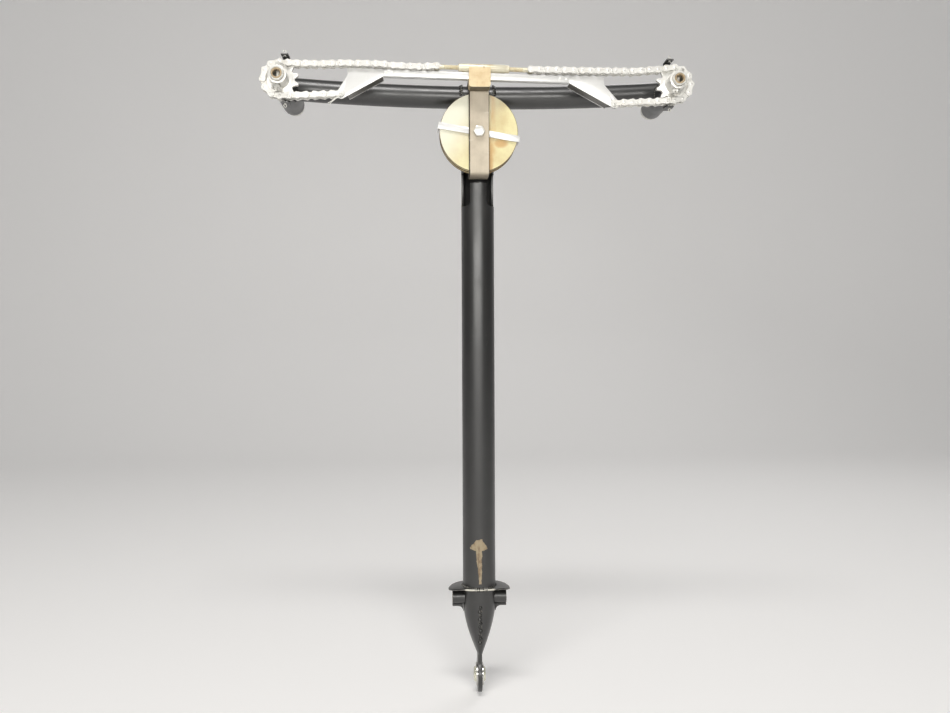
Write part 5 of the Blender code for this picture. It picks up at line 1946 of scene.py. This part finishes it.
@dataclass
class Turnbuckle:
    """Barrel and threaded eyes that take up the slack of the upper run."""

    shop: PaintShop
    left_pin: float = -0.047625
    right_pin: float = 0.057150
    half_length: float = 0.0285
    radius: float = 0.0046
    bore: float = 0.0030
    shank_radius: float = 0.0027
    eye_radius: float = 0.0034
    eye_half: float = 0.0021
    eye_edge: float = 0.0004
    neck_sunk: float = 0.8
    neck_reach: float = 0.0085
    neck_taper: float = 0.0003
    thread_inset: float = 0.0140
    sight_hole: float = 0.0010
    sight_reach: float = 0.010
    mouth_step: float = 0.0011
    mouth_length: float = 0.0008
    collar_step: float = 0.0004
    neck_length: float = 0.0042
    shoulder: float = 0.0050

    @property
    def middle(self) -> float:
        """The barrel's middle along the slope."""
        return (self.left_pin + self.right_pin) / 2

    @staticmethod
    def hang(piece: Piece) -> Piece:
        """Move a piece made level at the origin onto the turnbuckle's slope."""
        piece.location = (0, CHAIN_PLANE, AXIS_Z + TOP_LEVEL)
        piece.rotation_euler = (0, LINK_TILT, 0)
        return Bench.settle(piece)

    def build(self) -> None:
        """Build the barrel and its two eyes."""
        half, r, neck = self.half_length, self.radius, self.radius - self.collar_step
        profile = [(self.bore, -half), (r - self.mouth_step, -half),
                   (neck, -half + self.mouth_length), (neck, -half + self.neck_length),
                   (r, -half + self.shoulder), (r, half - self.shoulder),
                   (neck, half - self.neck_length), (neck, half - self.mouth_length),
                   (r - self.mouth_step, half), (self.bore, half)]
        centre = (self.middle, 0, 0)
        barrel = Bench.turned("slotted_barrel", profile, Axis.X, centre, 40, Ends.JOINED)
        hole = Bench.rod("sight_hole", self.sight_hole, -self.sight_reach, self.sight_reach,
                         Axis.Y, centre, 20)
        Bench.carve(barrel, [hole])
        Bench.smooth(barrel)
        fit(self.hang(barrel), "turnbuckle", self.shop["cream_brass"], Slot.BRASS,
            "turnbuckle_barrel")
        for side in Side:
            self.build_eye(side)

    def build_eye(self, side: Side) -> None:
        """One eye with its threaded shank.

        Args:
            side: which end of the barrel it screws into.
        """
        pin_x = self.left_pin if side is Side.LEFT else self.right_pin
        edge, radius, half = self.eye_edge, self.eye_radius, self.eye_half
        profile = [(radius - edge, -half), (radius, -half + edge), (radius, half - edge),
                   (radius - edge, half)]
        eye = Bench.turned("eye", profile, Axis.Y, (pin_x, 0, 0), 32)
        neck_start = pin_x - side.value * (radius * self.neck_sunk)
        neck_end = pin_x - side.value * self.neck_reach
        low, high = sorted((neck_start, neck_end))
        profile = [(self.shank_radius, low), (self.shank_radius - self.neck_taper, high)]
        neck = Bench.turned("neck", profile, Axis.X, (0, 0, 0), 24)
        inner = self.middle + side.value * (self.half_length - self.thread_inset)
        low, high = sorted((inner, neck_end))
        thread = Fastener().thread("thread", self.shank_radius, low, high, Axis.X, (0, 0, 0))
        piece = Bench.joined(f"threaded_eye_{side.label}", [eye, neck, thread])
        fit(self.hang(piece), "turnbuckle", self.shop["cream_brass"], Slot.BRASS,
            f"turnbuckle_eye_{side.label}")


# Pulley head


@dataclass
class PulleyHead:
    """Two cable pulleys, their bolt, strap and keeper, and the guide block above."""

    shop: PaintShop
    places: tuple[tuple[str, float], ...] = (("front", -0.0276), ("rear", -0.0184))
    radius: float = 0.04445
    width: float = 0.0080
    groove_depth: float = 0.0045
    groove_mouth: float = 0.0026
    groove_floor: float = 0.0010
    groove_rise: float = 0.0006
    groove_round: float = 0.0003
    lip_round: float = 0.0003
    lip_chamfer: float = 0.0002
    rim_round: float = 0.0005
    bearing_radius: float = 0.0095
    bearing_reach: float = 0.00445
    bolt_radius: float = 0.003175
    bolt_flats: float = 0.0111
    head_back: float = -0.03665
    head_height: float = 0.0040
    block_half: float = 0.0120
    block_wall: tuple[float, float] = (0.5900, 0.6014)
    wall_back: float = -0.0511
    block_round: float = 0.0006
    strap_half: float = 0.0115
    strap_leg: tuple[float, float] = (0.4867, 0.4892)
    strap_reach: tuple[float, float] = (-0.0200, -0.0085)
    strap_round: float = 0.0007
    nut_start: float = 0.02075
    nut_height: float = 0.0056
    bolt_tail: float = 0.0030
    washer_radius: float = 0.0052
    washer_height: float = 0.0004
    washer_sunk: float = 0.0001
    thread_pitch: float = 0.0010

    def build(self) -> None:
        """Build every piece of the head."""
        for name, y in self.places:
            self.build_pulley(name, y)
        self.build_bolt()
        self.build_strap()
        self.build_block()
        parts = (("cable_keeper", "keeper_strip", 0.0002, "link_aluminium",
                  Slot.ALUMINIUM_SHEET),
                 ("guide_screw", "block_screw", 0.0002, "bright_zinc", Slot.BRIGHT_BOLT),
                 ("pulley_sleeve", "spacer_sleeve", 0.0003, "satin_black_paint",
                  Slot.SATIN_BLACK))
        for node, name, edge, finish, slot in parts:
            rework(node, name, "column", self.shop[finish], slot, edge)

    def build_strap(self) -> None:
        """Bent strap, with its lower leg carried into the column's open head."""
        strap = Bench.remade("head_strap", "bent_strap")
        half, (low, high), (front, back) = self.strap_half, self.strap_leg, self.strap_reach
        leg = Bench.block("leg", (-half, front, low), (half, back, high))
        Bench.carve(strap, [leg], "UNION")
        Bench.soften(strap, self.strap_round, 3)
        Bench.smooth(strap)
        fit(strap, "column", self.shop["strap_plate"], Slot.STRAP_STEEL, "head_strap")

    def build_block(self) -> None:
        """Guide block, with its front wall carried up before the turnbuckle."""
        block = Bench.remade("guide_block", "slotted_block")
        front = min(corner[1] for corner in block.bound_box)
        half, (low, high) = self.block_half, self.block_wall
        wall = Bench.block("wall", (-half, front, low), (half, self.wall_back, high))
        Bench.carve(block, [wall], "UNION")
        Bench.soften(block, self.block_round, 3)
        Bench.smooth(block)
        fit(block, "column", self.shop["block_phenolic"], Slot.TAN_PHENOLIC, "guide_block")

    def build_pulley(self, name: str, y: float) -> None:
        """Pulley with a rounded groove, and its ball bearing.

        Args:
            name: front or rear.
            y: its middle plane.
        """
        half, hub, edge = self.width / 2, self.bearing_radius + GAP, self.rim_round
        floor = self.radius - self.groove_depth
        rear = [(floor + self.groove_rise, self.groove_floor + self.groove_round),
                (self.radius - self.lip_round, self.groove_mouth),
                (self.radius, self.groove_mouth + self.lip_chamfer),
                (self.radius, half - edge), (self.radius - edge, half), (hub, half)]
        profile = [(radius, y - across) for radius, across in reversed(rear)]
        profile += [(floor, y)] + [(radius, y + across) for radius, across in rear]
        centre = (0, 0, PULLEY_Z)
        pulley = Bench.turned(f"grooved_pulley_{name}", profile, Axis.Y, centre, 120,
                              Ends.JOINED)
        fit(pulley, f"pulley_{name}", self.shop["pulley_phenolic"],
            Slot.TAN_PHENOLIC, f"pulley_{name}")
        bearing = Bench.ring(f"ball_bearing_{name}", self.bolt_radius + GAP,
                             self.bearing_radius, y - self.bearing_reach,
                             y + self.bearing_reach, Axis.Y, centre)
        fit(bearing, f"pulley_{name}", self.shop["bearing_steel"], Slot.BEARING_STEEL,
            f"pulley_bearing_{name}")

    def build_bolt(self) -> None:
        """Bolt through the pulleys, its washer face and its nut behind the column."""
        maker, centre, zinc = Fastener(), (0, 0, PULLEY_Z), self.shop["bright_zinc"]
        back, start, nut_end = self.head_back, self.nut_start, self.nut_start + self.nut_height
        head = maker.hexagon("pulley_bolt_head", self.bolt_flats, back - self.head_height,
                             back - self.washer_height, Axis.Y, centre, 30, (True, False))
        face = Bench.rod("washer_face", self.washer_radius,
                         back - self.washer_height - self.washer_sunk, back, Axis.Y, centre, 32)
        shank = Bench.rod("shank", self.bolt_radius, back, start, Axis.Y, centre, 28)
        thread = maker.thread("thread", self.bolt_radius, start, nut_end + self.bolt_tail,
                              Axis.Y, centre, self.thread_pitch)
        bolt = Bench.joined("pulley_axle_bolt", [head, face, shank, thread])
        fit(bolt, "column", zinc, Slot.BRIGHT_BOLT, "pulley_bolt")
        nut = maker.hexagon("axle_nut", self.bolt_flats, start, nut_end, Axis.Y, centre, 10)
        maker.bored(nut, self.bolt_radius + THREAD_GAP, start, nut_end, Axis.Y, centre, 28)
        fit(nut, "column", zinc, Slot.BRIGHT_BOLT, "pulley_nut")


# Column


@dataclass
class Column:
    """Welded column: tubes, saddle, foot, lug, pivot and their welds."""

    shop: PaintShop
    tube_radius: float = 0.01905
    tube_bore: float = 0.01695
    tube_foot: float = 0.0140
    tube_edge: float = 0.0003
    tube_facets: int = 96
    cut_reach: float = 0.0250
    head_flat: float = -0.0126
    notch_floor: float = 0.4810
    notch_round: float = 0.0030
    bolt_hole: float = 0.0063
    slot_floor: float = 0.4555
    slot_side: float = 0.0093
    slot_back: float = 0.0040
    slot_rise: float = 0.0135
    slot_round: float = 0.0042
    bar_wall: float = 0.00165
    bar_bow: float = 0.0080
    bar_stations: int = 24
    bar_end: float = 0.0064
    cope_reach: float = 0.0260
    saddle_top: float = 0.0137
    saddle_under: float = 0.0115
    foot_top: float = 0.0112
    foot_shoulder: float = -0.0050
    foot_tip: float = -0.0630
    foot_tip_half: float = 0.0038
    foot_power: float = 1.7
    foot_steps: int = 14
    foot_facets: int = 72
    pocket: tuple[float, float] = (-0.0040, 0.0200)
    hole_reach: float = 0.0400
    lug_half: float = 0.0024
    lug_slot_half: float = 0.0128
    lug_slot_ends: tuple[float, float] = (-0.0050, 0.0123)
    ball_centre: float = -0.0915
    ball_radius: float = 0.0100
    ball_half: float = 0.0066
    ball_bore: float = 0.0040
    ball_steps: int = 10
    pivot_radius: float = 0.0080
    pivot_bore: float = 0.00675
    pivot_half: float = 0.0315
    pivot_edge: float = 0.0004
    bush_length: float = 0.0110
    bush_edge: float = 0.0002
    race_edge: float = 0.0002
    spindle_radius: float = 0.00475
    spindle_bore: float = 0.0033
    saddle_weld: tuple[float, float, float] = (0.0019, 0.0004, 0.0003)
    under_weld: tuple[float, float, float] = (0.0017, 0.0003, 0.0004)
    thick_weld: float = 0.0027
    weld_out: float = 0.0004
    tube_weld_steps: int = 58
    head_weld_steps: int = 36
    seam_steps: int = 10
    seam_top: float = -0.0080
    seam_length: float = 0.0400
    seam_wander: float = 0.0005
    seam_stretch: Point = (0.95, 0.85, 0.42)

    def build(self) -> None:
        """Build every piece of the column."""
        black, rubbed = self.shop["satin_black_paint"], self.shop["rubbed_black_paint"]
        self.build_tube()
        self.build_crossbar()
        self.build_foot()
        parts = [("base_saddle", "saddle_plate", 0.0009, rubbed),
                 ("foot_lug", "eye_lug", 0.0006, black)]
        parts += [(f"pivot_gusset_{side.label}", f"curved_web_{side.label}", 0.0008, black)
                  for side in Side]
        for node, name, edge, paint in parts:
            rework(node, name, "column", paint, Slot.SATIN_BLACK, edge, 3)
        self.build_pivot()
        rework("foot_bearing_race", "outer_race", "column", self.shop["bearing_steel"],
               Slot.BEARING_STEEL, self.race_edge, 1)
        self.build_ball()
        self.build_welds()

    def build_tube(self) -> None:
        """Main tube, coped for the crossbar and opened for the pulleys and their cables."""
        tube = Bench.ring("main_tube", self.tube_bore, self.tube_radius, self.tube_foot,
                          CROSSBAR_Z, Axis.Z, (0, 0, 0), self.tube_edge, self.tube_facets)
        past = self.cut_reach
        bar = Bench.rod("bar", CROSSBAR_RADIUS + GAP, -past, past, Axis.X, (0, 0, CROSSBAR_Z), 64)
        head = Bench.block("head", (-past, -past, self.notch_floor),
                           (past, self.head_flat, CROSSBAR_Z + past), self.notch_round)
        hole = Bench.rod("hole", self.bolt_hole, 0.0, past, Axis.Y, (0, 0, PULLEY_Z), 40)
        slots = []
        for side in Side:
            near, far = sorted((side.value * self.slot_side, side.value * past))
            slots.append(Bench.block(
                "slot", (near, -past, self.slot_floor),
                (far, self.slot_back, self.notch_floor + self.slot_rise), self.slot_round))
        Bench.carve(tube, [bar, head, hole, *slots])
        Bench.smooth(tube)
        fit(tube, "column", self.shop["column_paint"], Slot.SATIN_BLACK, "column_tube")

    def bar_height(self, x: float) -> float:
        """Height of the bowed crossbar's middle line."""
        return CROSSBAR_Z + self.bar_bow * (x / WHEEL_X) ** 2

    def build_crossbar(self) -> None:
        """Bowed tube, extruded along its bow and coped round the housings."""
        Bench.release()
        bpy.ops.mesh.primitive_circle_add(vertices=64, radius=CROSSBAR_RADIUS,
                                          location=(0, 0, 0), rotation=(0, math.pi / 2, 0))
        bar = Bench.settle(Bench.named("bowed_crossbar"))
        stations = [WHEEL_X * (2 * step / self.bar_stations - 1)
                    for step in range(self.bar_stations + 1)]
        bpy.ops.object.mode_set(mode="EDIT")
        bpy.ops.mesh.select_all(action="SELECT")
        bpy.ops.transform.translate(value=(stations[0], 0, self.bar_height(stations[0])))
        for near, far in zip(stations, stations[1:]):
            move = (far - near, 0, self.bar_height(far) - self.bar_height(near))
            bpy.ops.mesh.extrude_region_move(TRANSFORM_OT_translate={"value": move})
        bpy.ops.object.mode_set(mode="OBJECT")
        Bench.fix_normals(bar)
        Bench.apply(bar, "SOLIDIFY", thickness=self.bar_wall, offset=-1)
        tools, reach = [], self.cope_reach
        for side in Side:
            tools.append(Bench.rod("cope", CROSSBAR_RADIUS + GAP, -reach, reach, Axis.Y,
                                   (side.value * WHEEL_X, 0, AXIS_Z), 64))
            near, far = sorted((side.value * (WHEEL_X - self.bar_end),
                                side.value * (WHEEL_X + reach)))
            tools.append(Bench.block("end", (near, -reach, AXIS_Z - reach),
                                     (far, reach, AXIS_Z + reach)))
        Bench.carve(bar, tools)
        Bench.smooth(bar)
        fit(bar, "column", self.shop["satin_black_paint"], Slot.SATIN_BLACK, "crossbar")

    def foot_half(self, z: float) -> float:
        """Half width of the pinched foot at a height.

        Args:
            z: the height.

        Returns:
            The half width.
        """
        share = (self.foot_shoulder - z) / (self.foot_shoulder - self.foot_tip)
        pinch = min(1.0, max(0.0, share)) ** self.foot_power
        return self.tube_radius - (self.tube_radius - self.foot_tip_half) * pinch

    def build_foot(self) -> None:
        """Tube pinched towards its end, drilled for the pivot and slotted for the lug."""
        Bench.release()
        bpy.ops.mesh.primitive_circle_add(vertices=self.foot_facets, radius=self.tube_radius,
                                          fill_type="NGON", location=(0, 0, self.foot_top))
        foot = Bench.settle(Bench.named("pinched_foot"))
        fall = self.foot_tip - self.foot_shoulder
        bpy.ops.object.mode_set(mode="EDIT")
        bpy.ops.mesh.select_all(action="SELECT")
        last = self.foot_top
        for step in range(self.foot_steps + 1):
            level = self.foot_shoulder + fall * step / self.foot_steps
            bpy.ops.mesh.extrude_region_move(
                TRANSFORM_OT_translate={"value": (0, 0, level - last)})
            share = self.foot_half(level) / self.foot_half(last)
            bpy.ops.transform.resize(value=(share, 1, 1), center_override=(0, 0, level))
            last = level
        bpy.ops.object.mode_set(mode="OBJECT")
        Bench.fix_normals(foot)
        pocket = Bench.rod("pocket", self.tube_bore, *self.pocket, Axis.Z, (0, 0, 0),
                           self.foot_facets)
        hole = Bench.rod("hole", self.pivot_radius + GAP, -self.hole_reach, self.hole_reach,
                         Axis.X, (0, 0, 0), 48)
        across, (below, above) = self.lug_half + GAP, self.lug_slot_ends
        slot = Bench.block("slot", (-across, -self.lug_slot_half, self.foot_tip + below),
                           (across, self.lug_slot_half, self.foot_tip + above))
        Bench.carve(foot, [pocket, hole, slot])
        Bench.smooth(foot)
        fit(foot, "column", self.shop["satin_black_paint"], Slot.SATIN_BLACK, "tapered_foot")

    def build_pivot(self) -> None:
        """Pivot tube, the bushes in its ends and the hollow spindle that stays outside."""
        half = self.pivot_half
        tube = Bench.ring("pivot_sleeve", self.pivot_bore, self.pivot_radius, -half, half,
                          Axis.X, (0, 0, 0), self.pivot_edge)
        fit(tube, "column", self.shop["satin_black_paint"], Slot.SATIN_BLACK, "pivot_tube")
        for side in Side:
            start, end = sorted((side.value * (half - self.bush_length), side.value * half))
            bush = Bench.ring(f"plain_bush_{side.label}", self.spindle_radius + GAP,
                              self.pivot_bore - GAP, start, end, Axis.X, (0, 0, 0),
                              self.bush_edge)
            fit(bush, "column", self.shop["plain_bronze"], Slot.BRONZE_BUSH,
                f"pivot_bush_{side.label}")
        spindle = Bench.ring("hollow_spindle", self.spindle_bore, self.spindle_radius,
                             -half, half, Axis.X, (0, 0, 0), self.pivot_edge)
        fit(spindle, "pivot_spindle", self.shop["bearing_steel"], Slot.BEARING_STEEL,
            "pivot_spindle")

    def build_ball(self) -> None:
        """Bored ball that turns in the race."""
        profile = [(self.ball_bore, -self.ball_half)]
        for step in range(self.ball_steps + 1):
            along = self.ball_half * (2 * step / self.ball_steps - 1)
            profile.append((math.sqrt(self.ball_radius ** 2 - along ** 2), along))
        profile.append((self.ball_bore, self.ball_half))
        ball = Bench.turned("bored_ball", profile, Axis.X, (0, 0, self.ball_centre), 64,
                            Ends.JOINED)
        fit(ball, "foot_ball", self.shop["polished_ball"], Slot.BEARING_STEEL, "foot_ball")

    def build_welds(self) -> None:
        """Welds round the saddle and the crossbar, and the seam down the foot's front."""
        self.weld_round_tube("saddle_weld", self.saddle_top, 1, *self.saddle_weld)
        self.weld_round_tube("foot_top_weld", self.saddle_under, -1, *self.under_weld)
        for side in Side:
            self.weld_round_bar(side)
        seam = []
        for step in range(self.seam_steps):
            z = self.seam_top - self.seam_length * step / (self.seam_steps - 1)
            sway = (-1) ** step
            seam.append((Vector((self.seam_wander * sway, -self.tube_radius, z)),
                         Vector((0.15 * sway, -1, 0.15)), Vector((0, 0, -1))))
        WeldRun(self.shop, self.thick_weld).lay("foot_seam_weld", seam, self.seam_stretch)

    def weld_round_tube(self, name: str, height: float, up: int, width: float, out: float,
                        rise: float) -> None:
        """Weld round the tube, above or below the saddle.

        Args:
            name: the piece's name.
            height: height of the saddle's face.
            up: 1 where the weld looks up, -1 where it looks down.
            width: the weld's half width.
            out: how far its middle stands out from the tube.
            rise: how far its middle stands off the saddle.
        """
        spots = []
        for cosine, sine in ring_points(self.tube_weld_steps):
            ray = Vector((cosine, sine, 0))
            spots.append((ray * (self.tube_radius + out) + Vector((0, 0, height + up * rise)),
                          ray + Vector((0, 0, up)), Vector((-ray.y, ray.x, 0))))
        WeldRun(self.shop, width).lay(name, spots)

    def weld_round_bar(self, side: Side) -> None:
        """Weld round the crossbar where it leaves the tube.

        Args:
            side: which side of the tube.
        """
        spots = []
        for cosine, sine in ring_points(self.head_weld_steps):
            y, up = CROSSBAR_RADIUS * cosine, CROSSBAR_RADIUS * sine
            reach = math.sqrt(self.tube_radius ** 2 - y ** 2) if up < 0 else self.tube_radius
            spots.append((Vector((side.value * (reach + self.weld_out), y, CROSSBAR_Z + up)),
                          Vector((side.value * 0.6, cosine, sine)), Vector((0, -sine, cosine))))
        WeldRun(self.shop, self.thick_weld).lay(f"head_weld_{side.label}", spots)


def main() -> None:
    """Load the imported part, build the studio and dress every sub-assembly."""
    logging.basicConfig(level=logging.INFO, format="%(message)s")
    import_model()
    bpy.context.scene.view_settings.view_transform = "Standard"
    Studio().build()
    shop = PaintShop()
    shop.open()
    Column(shop).build()
    PulleyHead(shop).build()
    for side in Side:
        ShaftHousing(shop, side).build()
        WheelDrive(shop, side).build()
    TieLink(shop).build()
    Turnbuckle(shop).build()
    RollerChain(shop).build()
    Bench.release()


if __name__ == "__main__":
    main()
